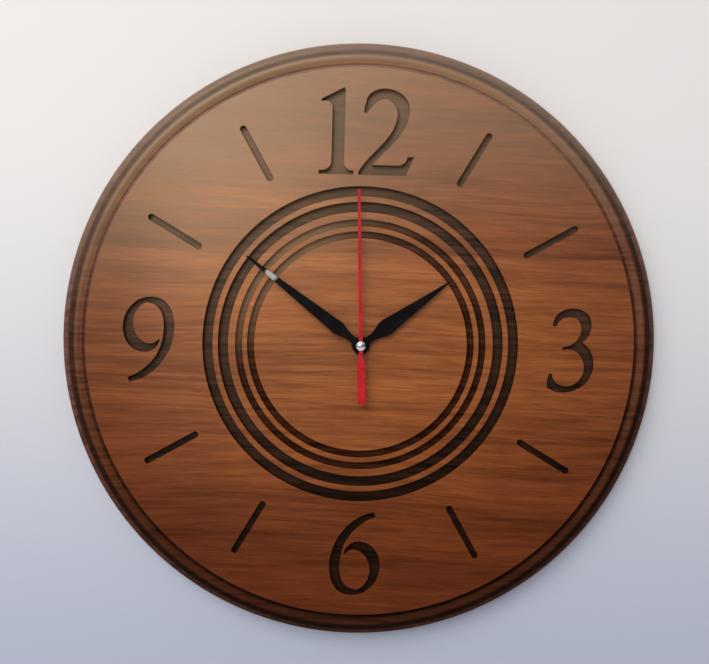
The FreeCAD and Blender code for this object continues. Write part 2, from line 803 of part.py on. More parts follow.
def meshed(first_tooth, teeth, mate_teeth, toward_mate):
    """The direction of a tooth of the mating gear, so that its gap meets this gear's tooth."""
    half_pitch = math.pi / mate_teeth
    return toward_mate + math.pi + half_pitch - (first_tooth - toward_mate) * teeth / mate_teeth


def arbor(place, radius, front_layer, back_layer):
    return disc(place, radius, layer_y(front_layer), layer_y(back_layer))


rotor_from_fifth = direction(fifth_at, rotor_at)
fifth_from_main = direction(main_at, fifth_at)
third_from_main = direction(main_at, third_at)
work_from_main = direction(main_at, minute_work_at)
knob_from_work = direction(minute_work_at, knob_at)
cannon_tooth = work_from_main
minute_work_tooth = meshed(cannon_tooth, teeth_cannon, teeth_minute_work_wheel, work_from_main)
minute_tip_y = minute_hand_y - hand_thickness - collar_length
hour_tip_y = hour_hand_y - hand_thickness - collar_length
second_tip_y = second_hand_y - second_hand_thickness - collar_length


def hour_wheel():
    first_tooth = meshed(-work_from_main, teeth_minute_work_pinion, teeth_hour_wheel,
                         work_from_main + math.pi)
    wheel = toothed_disc(main_at, teeth_hour_wheel, module_hour, wheel_tooth_shares, first_tooth,
                         hour_layer, hour_layer + motion_wheel_thickness)
    pipe = disc(main_at, hour_tube_radius, hour_tip_y, layer_y(hour_layer) + motion_wheel_thickness)
    bore = disc(main_at, minute_tube_radius + running_play, hour_tip_y - overrun, layer_y(motion_layer))
    return fuse_all([wheel, pipe]).cut(bore)


def centre_wheel():
    wheel = toothed_disc(main_at, teeth_centre_wheel, module_third_centre, wheel_tooth_shares,
                         meshed(third_from_main + math.pi, teeth_third_pinion, teeth_centre_wheel,
                                third_from_main + math.pi),
                         centre_layer, centre_layer + train_wheel_thickness)
    cannon = toothed_disc(main_at, teeth_cannon, module_cannon, pinion_tooth_shares, cannon_tooth,
                          motion_layer - layer_gap / 4, centre_layer)
    pipe = disc(main_at, minute_tube_radius, minute_tip_y, layer_y(centre_layer))
    bore = disc(main_at, second_arbor_radius + running_play, minute_tip_y - overrun, layer_y(plate_layer))
    return fuse_all([wheel, cannon, pipe]).cut(bore)


def minute_work_wheel():
    wheel = toothed_disc(minute_work_at, teeth_minute_work_wheel, module_cannon, wheel_tooth_shares,
                         minute_work_tooth, motion_layer, motion_layer + motion_wheel_thickness)
    pinion = toothed_disc(minute_work_at, teeth_minute_work_pinion, module_hour, pinion_tooth_shares,
                          -work_from_main, hour_layer - end_play / 2, motion_layer)
    bore = disc(minute_work_at, post_radius + running_play, layer_y(case_wall), layer_y(plate_layer))
    return fuse_all([wheel, pinion]).cut(bore)


def third_wheel():
    wheel = toothed_disc(third_at, teeth_third_wheel, module_seconds_third, wheel_tooth_shares,
                         meshed(third_from_main, teeth_seconds_pinion, teeth_third_wheel, third_from_main),
                         third_layer, third_layer + train_wheel_thickness)
    pinion = toothed_disc(third_at, teeth_third_pinion, module_third_centre, pinion_tooth_shares,
                          third_from_main + math.pi, centre_layer - layer_gap / 2, third_layer)
    spindle = arbor(third_at, third_arbor_radius, case_wall + end_play, cover_layer - end_play)
    return fuse_all([wheel, pinion, spindle])


def seconds_wheel():
    wheel = toothed_disc(main_at, teeth_seconds_wheel, module_fifth_seconds, wheel_tooth_shares,
                         meshed(fifth_from_main + math.pi, teeth_fifth_pinion, teeth_seconds_wheel,
                                fifth_from_main + math.pi),
                         seconds_layer, seconds_layer + train_wheel_thickness)
    pinion = toothed_disc(main_at, teeth_seconds_pinion, module_seconds_third, pinion_tooth_shares,
                          third_from_main, plate_top + layer_gap / 2, seconds_layer)
    spindle = disc(main_at, second_arbor_radius, second_tip_y, layer_y(cover_layer - end_play))
    return fuse_all([wheel, pinion, spindle])


def fifth_wheel():
    wheel = toothed_disc(fifth_at, teeth_fifth_wheel, module_rotor_fifth, wheel_tooth_shares,
                         meshed(rotor_from_fifth + math.pi, teeth_rotor, teeth_fifth_wheel,
                                rotor_from_fifth + math.pi),
                         fifth_layer, fifth_layer + train_wheel_thickness)
    pinion = toothed_disc(fifth_at, teeth_fifth_pinion, module_fifth_seconds, pinion_tooth_shares,
                          fifth_from_main + math.pi, seconds_layer - layer_gap / 2, fifth_layer)
    spindle = arbor(fifth_at, thin_arbor_radius, plate_layer + layer_gap / 4, cover_layer - end_play)
    return fuse_all([wheel, pinion, spindle])


def rotor():
    magnet_front = stator_layer + stator_thickness / 2 - magnet_length / 2
    pinion_front = fifth_layer - layer_gap / 2
    pinion_back = fifth_layer + train_wheel_thickness + layer_gap / 2
    magnet = arbor(rotor_at, magnet_radius, magnet_front, magnet_front + magnet_length)
    hub = arbor(rotor_at, rotor_hub_radius, plate_top + layer_gap, pinion_front)
    pinion = toothed_disc(rotor_at, teeth_rotor, module_rotor_fifth, pinion_tooth_shares,
                          rotor_from_fifth + math.pi, pinion_front, pinion_back)
    spindle = arbor(rotor_at, thin_arbor_radius, plate_layer + layer_gap / 4, cover_layer - end_play)
    return fuse_all([magnet, hub, pinion, spindle])


def setting_knob():
    gear_tooth = meshed(minute_work_tooth, teeth_minute_work_wheel, teeth_knob, knob_from_work)
    gear = toothed_disc(knob_at, teeth_knob, module_cannon, pinion_tooth_shares, gear_tooth,
                        motion_layer, motion_layer + motion_wheel_thickness)
    head_front = case_depth - knob_head_length
    head_back = case_depth + knob_well_clearance
    pivot = arbor(knob_at, knob_pivot_radius, case_wall + end_play / 2, motion_layer)
    shaft = arbor(knob_at, knob_shaft_radius, motion_layer + motion_wheel_thickness, head_front)
    head = arbor(knob_at, knob_radius, head_front, head_back)
    cuts = []
    for k in range(knob_flutes):
        at = step_from(knob_at, knob_radius, 360 * k / knob_flutes)
        cuts.append(arbor(at, knob_flute_radius, head_front - overrun, head_back + overrun))
    half_slot = knob_slot_width / 2
    cuts.append(block(knob_at[0] - knob_radius, knob_at[0] + knob_radius,
                      layer_y(head_back - knob_slot_depth), layer_y(head_back + overrun),
                      knob_at[1] - half_slot, knob_at[1] + half_slot))
    return fuse_all([gear, pivot, shaft, cut_all(head, cuts)])


keep("hour_wheel", hour_wheel())
keep("centre_wheel", centre_wheel())
keep("minute_work_wheel", minute_work_wheel())
keep("third_wheel", third_wheel())
keep("seconds_wheel", seconds_wheel())
keep("fifth_wheel", fifth_wheel())
keep("rotor", rotor())
keep("setting_knob", setting_knob())


# Stepping motor's fixed parts

def stator():
    front, back = layer_y(stator_layer), layer_y(core_layer)
    bar = block(-core_left_reach, core_right_reach, front, back,
                rotor_at[1] - stator_bar_half_height, rotor_at[1] + stator_bar_half_height)
    ring = disc(rotor_at, stator_bore_radius + stator_ring_width, front, back)
    top = core_z + core_height / 2
    legs = [block(-core_left_reach, -core_left_reach + stator_leg_width, front, back, rotor_at[1], top),
            block(core_right_reach - stator_leg_width, core_right_reach, front, back, rotor_at[1], top)]
    cuts = [disc(rotor_at, stator_bore_radius, front - overrun, back + overrun)]
    for turn in (fifth_direction, fifth_direction + 180):
        notch_at = step_from(rotor_at, stator_bore_radius, turn)
        cuts.append(disc(notch_at, stator_notch_radius, front - overrun, back + overrun))
    for x in (left_peg_x, right_peg_x):
        cuts.append(disc((x, core_z), motor_peg_radius + push_fit, front - overrun, back + overrun))
    return cut_all(fuse_all([bar, ring] + legs), cuts)


def coil_core():
    front, back = layer_y(core_layer), layer_y(core_layer + core_thickness)
    strip = block(-core_left_reach, core_right_reach, front, back,
                  core_z - core_height / 2, core_z + core_height / 2)
    return cut_all(strip, [disc((x, core_z), motor_peg_radius + push_fit, front - overrun, back + overrun)
                           for x in (left_peg_x, right_peg_x)])


def along_x(radius, x_low, x_high, layer, z):
    """A cylinder along X whose axis lies at a layer and height."""
    return Part.makeCylinder(radius, x_high - x_low, point(x_low, layer_y(layer), z), point(1, 0, 0))


def coil_bobbin():
    left, right = winding_left_x - bobbin_flange, winding_right_x + bobbin_flange
    parts = [along_x(bobbin_tube_radius, left, right, coil_axis_layer, core_z),
             along_x(bobbin_flange_radius, left, winding_left_x, coil_axis_layer, core_z),
             along_x(bobbin_flange_radius, winding_right_x, right, coil_axis_layer, core_z)]
    half_height, half_depth = core_height / 2 + push_fit, core_thickness / 2 + push_fit
    hole = block(left - overrun, right + overrun, layer_y(coil_axis_layer - half_depth),
                 layer_y(coil_axis_layer + half_depth), core_z - half_height, core_z + half_height)
    return fuse_all(parts).cut(hole)


def coil_winding():
    winding = along_x(winding_radius, winding_left_x, winding_right_x, coil_axis_layer, core_z)
    inner = along_x(bobbin_tube_radius, winding_left_x - overrun, winding_right_x + overrun,
                    coil_axis_layer, core_z)
    return winding.cut(inner)


keep("stator", stator())
keep("coil_core", coil_core())
keep("coil_bobbin", coil_bobbin())
keep("coil_winding", coil_winding())


# Circuit board

def circuit_board():
    board = block(circuit_left_x, circuit_right_x, layer_y(circuit_layer), layer_y(circuit_back_layer),
                  circuit_bottom_z, circuit_top)
    return cut_all(board, [disc(place, circuit_pin_radius + push_fit, layer_y(circuit_layer) - overrun,
                                layer_y(circuit_back_layer) + overrun) for place in circuit_posts()])


def crystal_can():
    axis_y = layer_y(circuit_back_layer + crystal_radius)
    base = point(circuit_right_x - crystal_inset, axis_y, crystal_bottom)
    return Part.makeCylinder(crystal_radius, crystal_length, base, point(0, 0, 1))


def chip_cover():
    at = (circuit_right_x - chip_inset, chip_level)
    return dome(at, chip_radius, chip_height, layer_y(circuit_back_layer), 1)


keep("circuit_board", circuit_board())
keep("crystal_can", crystal_can())
keep("chip_cover", chip_cover())


# Battery and its contacts

def battery_cell():
    nub_start = positive_end_x - battery_nub_length
    body = along_x(battery_radius, negative_end_x, nub_start, battery_axis_layer, battery_axis_z)
    body = body.makeChamfer(battery_end_round, [e for e in body.Edges if len(e.Vertexes) == 1])
    nub = along_x(battery_nub_radius, nub_start, positive_end_x, battery_axis_layer, battery_axis_z)
    return fuse_all([body, nub])


contact_front = battery_axis_layer - contact_depth / 2
contact_back = battery_axis_layer + contact_depth / 2
strip_back_layer = circuit_back_layer + contact_strip_width


def contact_positive():
    x_low, x_high = positive_end_x, positive_end_x + contact_thickness
    leaf = block(x_low, x_high, layer_y(contact_front), layer_y(contact_back),
                 battery_axis_z - contact_half_height, battery_axis_z + contact_half_height)
    strip = block(x_low, x_high, layer_y(circuit_back_layer), layer_y(strip_back_layer),
                  battery_axis_z, circuit_bottom_z + contact_tab_reach)
    return fuse_all([leaf, strip])


def contact_negative():
    x_low = -case_inner
    x_high = x_low + contact_thickness
    plate = block(x_low, x_high, layer_y(contact_front), layer_y(contact_back),
                  battery_axis_z - contact_half_height, battery_axis_z + contact_half_height)
    strip_top = train_bottom + battery_clearance + contact_thickness
    strip_front_y, strip_back_y = layer_y(circuit_back_layer), layer_y(strip_back_layer)
    riser = block(x_low, x_high, strip_front_y, strip_back_y, battery_axis_z, strip_top)
    strip_end = circuit_left_x + contact_tab_length
    strip_foot = strip_top - contact_thickness
    strip = block(x_low, strip_end, strip_front_y, strip_back_y, strip_foot, strip_top)
    tab = block(circuit_left_x, strip_end, strip_front_y, strip_front_y + contact_thickness,
                strip_foot, circuit_bottom_z + contact_tab_reach)
    low = battery_axis_z - contact_leaf_half_span
    high = battery_axis_z + contact_leaf_half_span
    outer = [point(x_high, 0, low), point(negative_end_x, 0, battery_axis_z), point(x_high, 0, high)]
    inner = [point(x_high, 0, high - 2 * contact_thickness),
             point(negative_end_x - contact_thickness, 0, battery_axis_z),
             point(x_high, 0, low + 2 * contact_thickness)]
    bow = Part.Wire([Part.Arc(outer[0], outer[1], outer[2]).toShape(), Part.makeLine(outer[2], inner[0]),
                     Part.Arc(inner[0], inner[1], inner[2]).toShape(), Part.makeLine(inner[2], outer[0])])
    leaf = extrude(bow, layer_y(battery_axis_layer - contact_leaf_width / 2),
                   layer_y(battery_axis_layer + contact_leaf_width / 2))
    return fuse_all([plate, riser, strip, tab, leaf])


keep("battery_cell", battery_cell())
keep("contact_positive", contact_positive())
keep("contact_negative", contact_negative())


# Hands

def blade_face(shares, length, shoulder):
    """A leaf outline pointing up +Z, symmetric about the blade's middle line."""
    right = [point(width * shoulder, 0, reach * length) for reach, width in shares]
    left = [point(-p.x, 0, p.z) for p in reversed(right)]
    side_count = len(right)
    neck = right[:side_count - 2]
    stretches = [neck, right[side_count - 3:side_count - 1], right[side_count - 2:], [right[-1], left[0]],
                 left[:2], left[1:3], left[2:], [left[-1], right[0]]]
    return outline_wire(stretches)


def leaf_hand(shares, length, shoulder, boss_radius, collar_radius, bore, back_y, angle):
    front_y = back_y - hand_thickness
    blade = extrude(blade_face(shares, length, shoulder), front_y, back_y)
    root_half = shares[0][1] * shoulder
    root = block(-root_half, root_half, front_y, back_y, 0, shares[0][0] * length)
    boss = disc(main_at, boss_radius, front_y, back_y)
    collar = disc(main_at, collar_radius, front_y - collar_length, back_y)
    hand = fuse_all([blade, root, boss, collar])
    hand = hand.cut(disc(main_at, bore + push_fit, front_y - collar_length - overrun, back_y + overrun))
    return turned(hand, angle)


def second_hand():
    back_y, front_y = second_hand_y, second_hand_y - second_hand_thickness
    half_neck, half_tail = second_neck_half_width, second_tail_half_width
    right = [(second_tip_half_width, second_hand_length), (half_neck, 0), (half_neck, -second_neck_length),
             (half_tail, -second_neck_length - second_tail_taper),
             (half_tail, -second_tail_length + second_tail_corner),
             (half_tail - second_tail_corner, -second_tail_length)]
    corners = [point(x, 0, z) for x, z in right] + [point(-x, 0, z) for x, z in reversed(right)]
    blade = extrude(Part.makePolygon(corners + corners[:1]), front_y, back_y)
    hand = blade.cut(disc(main_at, second_collar_radius, front_y - overrun, back_y + overrun))
    return turned(hand, second_angle)


def second_hand_cap():
    """Domed cap with a collar that passes through the hand and grips the arbor."""
    cap_back = second_hand_y - second_hand_thickness
    rim_y = cap_back - cap_edge
    head = disc(main_at, cap_radius, rim_y, cap_back)
    collar = disc(main_at, second_collar_radius, cap_back, second_hand_y + collar_length)
    cap = fuse_all([dome(main_at, cap_radius, cap_dome, rim_y, -1), head, collar])
    bore = disc(main_at, second_arbor_radius + push_fit, second_tip_y - push_fit, second_hand_y + overrun)
    return cap.cut(bore)


keep("hour_hand", leaf_hand(hour_blade_shares, hour_hand_length, hour_shoulder_half_width, hour_boss_radius,
                            hour_collar_radius, hour_tube_radius, hour_hand_y, hour_angle))
keep("minute_hand", leaf_hand(minute_blade_shares, minute_hand_length, minute_shoulder_half_width,
                              minute_boss_radius, minute_collar_radius, minute_tube_radius, minute_hand_y,
                              minute_angle))
keep("second_hand", second_hand())
keep("second_hand_cap", second_hand_cap())


os.makedirs("parts", exist_ok=True)
for name, shape in nodes.items():
    shape.translate(point(0, 0, -keyhole_z))
    shape.exportStep(os.path.join("parts", name + ".step"))
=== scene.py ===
"""Finishes and light for a round routed wooden wall clock."""

import math

import bmesh
import bpy
from bpy.props import FloatProperty, FloatVectorProperty, IntProperty, PointerProperty
from mathutils import Matrix, Vector


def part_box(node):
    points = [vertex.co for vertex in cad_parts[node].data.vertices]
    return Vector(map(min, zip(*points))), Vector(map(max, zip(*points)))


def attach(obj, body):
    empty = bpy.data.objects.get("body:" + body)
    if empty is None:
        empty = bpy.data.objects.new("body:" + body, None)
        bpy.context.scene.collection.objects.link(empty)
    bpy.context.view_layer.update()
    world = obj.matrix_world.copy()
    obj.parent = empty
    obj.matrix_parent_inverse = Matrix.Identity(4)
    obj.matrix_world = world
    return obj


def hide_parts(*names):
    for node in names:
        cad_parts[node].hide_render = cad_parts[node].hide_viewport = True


bl_info = {
    "name": "Routed Wall Clock",
    "version": (1, 0, 0),
    "blender": (4, 5, 0),
    "location": "View3D > Sidebar > Wall Clock",
    "description": "Dresses a round wooden wall clock with routed rings, numerals and a battery movement",
    "category": "Object",
}

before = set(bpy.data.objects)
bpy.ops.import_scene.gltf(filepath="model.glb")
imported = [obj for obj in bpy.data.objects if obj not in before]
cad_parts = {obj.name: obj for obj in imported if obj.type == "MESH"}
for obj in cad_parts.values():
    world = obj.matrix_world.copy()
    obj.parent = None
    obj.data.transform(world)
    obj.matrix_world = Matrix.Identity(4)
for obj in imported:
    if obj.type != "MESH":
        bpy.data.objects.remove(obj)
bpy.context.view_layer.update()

MM = 0.001


def mm(*lengths):
    """Lengths in metres from lengths in millimetres."""
    return tuple(given * MM for given in lengths)


# Places read from the frame
board_low, board_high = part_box("dial_board")
battery_low, battery_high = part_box("battery_cell")
hub_low, hub_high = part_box("stem_nut")
FACE_Y = board_low.y
WALL_Y = board_high.y
BOARD_RADIUS = (board_high.x - board_low.x) / 2
BOARD_DEPTH = WALL_Y - FACE_Y
PILOT_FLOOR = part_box("hanger_screws")[0].y - FACE_Y
HUB = Vector((0, 0, (hub_low.z + hub_high.z) / 2))

# Ring grooves round the hands, by the radius of their middle line
COVE_RADII = mm(72.1, 79.9)
FLAT_GROOVE_RADII = mm(90.2, 100.3)
GROOVE_FLOOR_ROUND = 0.5 * MM

# Rim moulding: widths out from the flat face, depths below it
FACE_ROUND = (mm(-0.6, 0.0), mm(-0.15, 0.16), mm(0.0, 0.6))
STEP_FOOT = (mm(0.6, 5.6), mm(1.5, 6.75), mm(3.0, 6.75))
BEAD = (mm(3.1, 6.6), mm(6.9, 4.9), mm(12.9, 13.4))
LEDGE = (mm(13.0, 16.2), mm(13.4, 16.6), mm(14.0, 16.6))
BRIM_START = mm(14.1, 16.6)
BRIM_FALL = 5.6 * MM
BRIM_STEPS = 14
BACK_ROUND = 1.0 * MM
BACK_ROUND_SHARE = 0.3

# Pockets: the movement's floor below the face, the hanger's recess and cavity below the back
MOVEMENT_FLOOR = 8 * MM
RECESS_DEPTH, CAVITY_DEPTH = 1.5 * MM, 8 * MM
NUMERALS_OUTSIDE = 110 * MM
TOOL_OVERRUN = 2 * MM

# What counts as one point, one level, flat, sharp or hard
SAME_POINT = 0.001 * MM
SAME_SECTION_POINT = 0.0005 * MM
SAME_LEVEL = 0.02 * MM
FLAT_ANGLE = math.radians(1)
SHARP_ANGLE = math.radians(20)
HARD_ANGLE = math.radians(38)
LEVEL_COSINE = 0.9999
FLOOR_COSINE = 0.999

# Planks, and how the grain slips from one to the next and bends
PLANK_WIDTH = 144 * MM
PLANK_JOINT = -84 * MM
PLANK_SLIP = 370 * MM
GRAIN_BEND = mm(0, 0, 35)
GRAIN_BEND_SCALES = (2.4, 6, 9)

# Grain layers: shift, fineness along X, Y and Z, detail and roughness of the noise
GRAIN_LAYERS = {
    "bands": ((0.31, 0, 0.07), (2.6, 9, 42), 4.0, 0.6),
    "streaks": ((0.12, 0, 0.4), (15, 60, 330), 5.0, 0.72),
    "fibres": ((0.5, 0, 0.2), (34, 300, 1100), 3.0, 0.6),
    "pores": ((0.9, 0, 0.6), (70, 900, 2300), 1.0, 0.4),
}
BAND_TONE_SHARE, STREAK_TONE_SHARE = 0.46, 0.54

# Where the stain starts and is full below the face, and where it ends above the back
STAIN_STARTS, STAIN_FULL = 0.12 * MM, 0.5 * MM
BACK_STAIN_ENDS, BACK_BARE = 3 * MM, 1 * MM
RIM_STARTS, RIM_FULL = -2 * MM, -1 * MM

# Rim tones: start and end out from the flat face, softness, and how much the stain's colour is raised there,
# on both sides and growing towards the shaded side: painted light and shade band by band
RIM_TONES = {
    "quirk": (*mm(0.1, 4.4, 1.0), 2.1, -1.7),
    "crest": (*mm(3.6, 8.4, 2.0), 0.25, 1.0),
    "ledge": (*mm(9.4, 14.6, 2.0), 0.5, -0.6),
    "brim": (*mm(15.4, 22.8, 1.6), 1.2, 2.9),
}
COVE_TONE = mm(69, 83, 0.5)

# Painted sheen: how much greener and bluer, so paler, the rim's stain is made, at the bottom and at the top
# left
RIM_SHEEN_PALING = ((0.08, 0.46), (0.25, 1.35))

# How far a place lies on the lit side: towards the top and, more so near the hands, towards the left. It
# sets the painted light and shade of the stain, the painted sheen and the lacquer's shine
LIT_SIDE_RISE_SHARE = 0.95
LIT_SIDE_LEFT_RADII, LIT_SIDE_LEFT_SHARES = mm(110, 170), (-0.32, -0.16)
LIT_SIDE_RANGE_SHARES = (-0.75, 0.95)

# Painted shade: the wood darkens outwards from the hub and towards the bottom; its tone also differs at
# random from plank to plank
SHADE_RADII, SHADE_RADII_SHARES = mm(60, 190), (1.0, 0.68)
SHADE_HEIGHTS, SHADE_HEIGHT_SHARES = mm(-170, -10), (0.5, 1.0)
PLANK_TONE_SHARES = (0.88, 1.04)

# Painted sheen in the pockets beyond the rings and on the left of the coves
POCKET_SHEEN_RADII = mm(104, 108)
POCKET_SHEEN_HEIGHTS = mm(-90, 150)
COVE_SHEEN_LEFTWARD = mm(56, 108)

# Painted highlight: the place above and left of the hands where the window's light falls brightest
HIGHLIGHT_PLACE = mm(-75, 0, 75)
HIGHLIGHT_RADII, HIGHLIGHT_SHARE = mm(15, 100), 0.3
DULL_LEFT = mm(-185, -110)

# Height of the relief on each kind of surface
WOOD_RELIEF, WIRE_RELIEF, PLASTER_RELIEF = 0.06 * MM, 0.05 * MM, 0.03 * MM
LACQUER_RIPPLE, METAL_LINES = 0.01 * MM, 0.008 * MM
PLASTIC_SKIN, LAMINATE_RELIEF = 0.02 * MM, 0.02 * MM

# The painted glint on the minute hand, and the bands of the battery's sleeve
GLINT_AT_SHARE = 0.79
GLINT_FULL, GLINT_EDGE, GLINT_FRAY = 5 * MM, 7 * MM, 4 * MM
GLINT_COLOUR = (0.42, 0.4, 0.36)
SLEEVE_BAND_SHARES = (0.3, 0.296)
BARE_AT_PLUS, BARE_AT_MINUS = mm(2.3, 2.1), mm(0.7, 0.9)

# Stage: painted shade on the wall, which is darker and bluer lower down, by the height from the hub
WALL_GAP = 0.2 * MM
WALL_OPENING_LAP = 0.8 * MM
WALL_SHADE_HEIGHTS = mm(-260, 160)
WALL_SHADE_TINTS = ((0.46, 0.50, 0.61), (0.82, 0.80, 0.78))
FLOOR_GREYS = ((0.78, 0.78, 0.78), (0.84, 0.84, 0.84))
CAMERA_NEAR = 20 * MM
ROOM_COLOUR = (0.96, 0.96, 1.0, 1.0)
ROOM_BRIGHT_WAY = (-0.3, -0.2, 0.93)
ROOM_STRENGTH = {"From Min": -0.3, "From Max": 1.0, "To Min": 0.02, "To Max": 0.68}

# Lamps: place, width, watts and colour
LAMPS = {
    "window": ((-0.6, -1.2, 0.45), 1.0, 8.4, (1.0, 0.96, 0.91)),
    "room": ((-0.7, -2.6, 1.7), 1.8, 34.0, (0.98, 0.98, 1.0)),
    "behind": ((-0.5, 1.8, 0.7), 0.9, 11.0, (1.0, 0.98, 0.95)),
}

# Colour sockets of the node that mixes
MIX_INPUTS, MIX_OUTPUT = (0, 6, 7), 2


def length(name, millimetres, description):
    """A length, given in millimetres."""
    return FloatProperty(name=name, description=description, default=millimetres * MM, unit="LENGTH")


def angle(name, degrees, description):
    """An angle, given in degrees."""
    return FloatProperty(name=name, description=description, default=math.radians(degrees), subtype="ANGLE")


def tint(name, default, description):
    """A colour."""
    return FloatVectorProperty(name=name, description=description, default=default, subtype="COLOR", size=3)


class WallClockBoardSizes(bpy.types.PropertyGroup):
    """Sizes of the routed board."""

    stem_hole_radius: length("Stem hole", 4.25, "Radius of the hole for the movement's stem")
    face_radius: length("Face radius", 180.2, "Radius at which the flat face ends and the rim begins")
    groove_depth: length("Groove depth", 4, "Depth of the flat ring grooves and of the numerals")
    cove_depth: length("Cove depth", 2.1, "Depth of the round-bottomed rings")
    cove_width: length("Cove width", 4.4, "Width of the round-bottomed rings at the face")
    groove_width: length("Groove width", 6.4, "Width of the flat ring grooves")
    eased_edge: length("Eased edge", 0.28, "Width of the small chamfer round every routed edge")
    turns: IntProperty(
        name="Steps round", description="Steps round the board when its section is spun",
        default=288, min=48)


class WallClockWoodColours(bpy.types.PropertyGroup):
    """Colours of the stained and lacquered wood."""

    dark_grain: tint("Dark grain", (0.15, 0.036, 0.008), "Dark growth bands")
    light_grain: tint("Light grain", (0.44, 0.135, 0.034), "Light growth bands")
    pore: tint("Pores", (0.05, 0.013, 0.005), "Open pores")
    routed_dark: tint("Routed dark", (0.012, 0.004, 0.002), "Dark streaks of the stain in the grooves")
    routed_light: tint("Routed light", (0.075, 0.025, 0.012), "Light streaks of the stain in the grooves")
    # Painted sheen: the pale colour that stands for the light the lacquer mirrors at the top left
    painted_sheen_colour: tint("Lacquer haze", (0.5, 0.35, 0.2), "Pale sheen of the lacquer at the head")


class WallClockMetalColours(bpy.types.PropertyGroup):
    """Colours of the hands and of the movement's case."""

    hand_black: tint("Hand black", (0.005, 0.004, 0.004), "Lacquer of the hour and minute hands")
    second_red: tint("Second hand red", (0.43, 0.006, 0.013), "Lacquer of the second hand")
    case_black: tint("Case black", (0.018, 0.018, 0.019), "Moulded plastic of the movement case")


class WallClockEdgeSizes(bpy.types.PropertyGroup):
    """Widths of the eased edges on the hands and fittings."""

    hand_edge: length("Hand edge", 0.12, "Of the hour and minute hands")
    second_hand_edge: length("Second hand edge", 0.08, "Of the second hand")
    nut_edge: length("Nut edge", 0.1, "Of the stem nut")
    case_edge: length("Case edge", 0.12, "Of the movement's case and cover")
    knob_edge: length("Knob edge", 0.06, "Of the setting knob")
    plate_edge: length("Plate edge", 0.15, "Of the keyhole plate")
    screw_edge: length("Screw edge", 0.06, "Of the hanger's screws")


class WallClockStageSizes(bpy.types.PropertyGroup):
    """The wall, the floor and the camera of the photograph."""

    camera_distance: length("Camera distance", 655.97, "Distance from the camera to the face's middle")
    camera_right: length("Camera offset right", 4.0, "How far the hub lies right of the camera's axis")
    camera_down: length("Camera offset down", 8.66, "How far the hub lies under the camera's axis")
    camera_pitch: angle("Camera pitch", 3.298, "Turn of the face about the camera's level axis")
    camera_yaw: angle("Camera yaw", 0.876, "Turn of the face about the camera's upright axis")
    hanging_roll: angle("Hanging roll", 1.55, "How far the clock hangs turned clockwise in the photograph")
    focal_pixels: FloatProperty(
        name="Focal length in pixels", description="Focal length counted in pixels of the photograph",
        default=1000.0)
    photo_width: IntProperty(
        name="Photograph width", description="Width of the photograph in pixels", default=709)
    wall_half: length("Wall half width", 3000, "Half the width of the wall behind the clock")
    floor_drop: length("Floor drop", 1300, "How far the floor lies under the hub")


def sizes(name):
    """One of the property groups kept on the scene."""
    return getattr(bpy.context.scene, name)


# Shader building

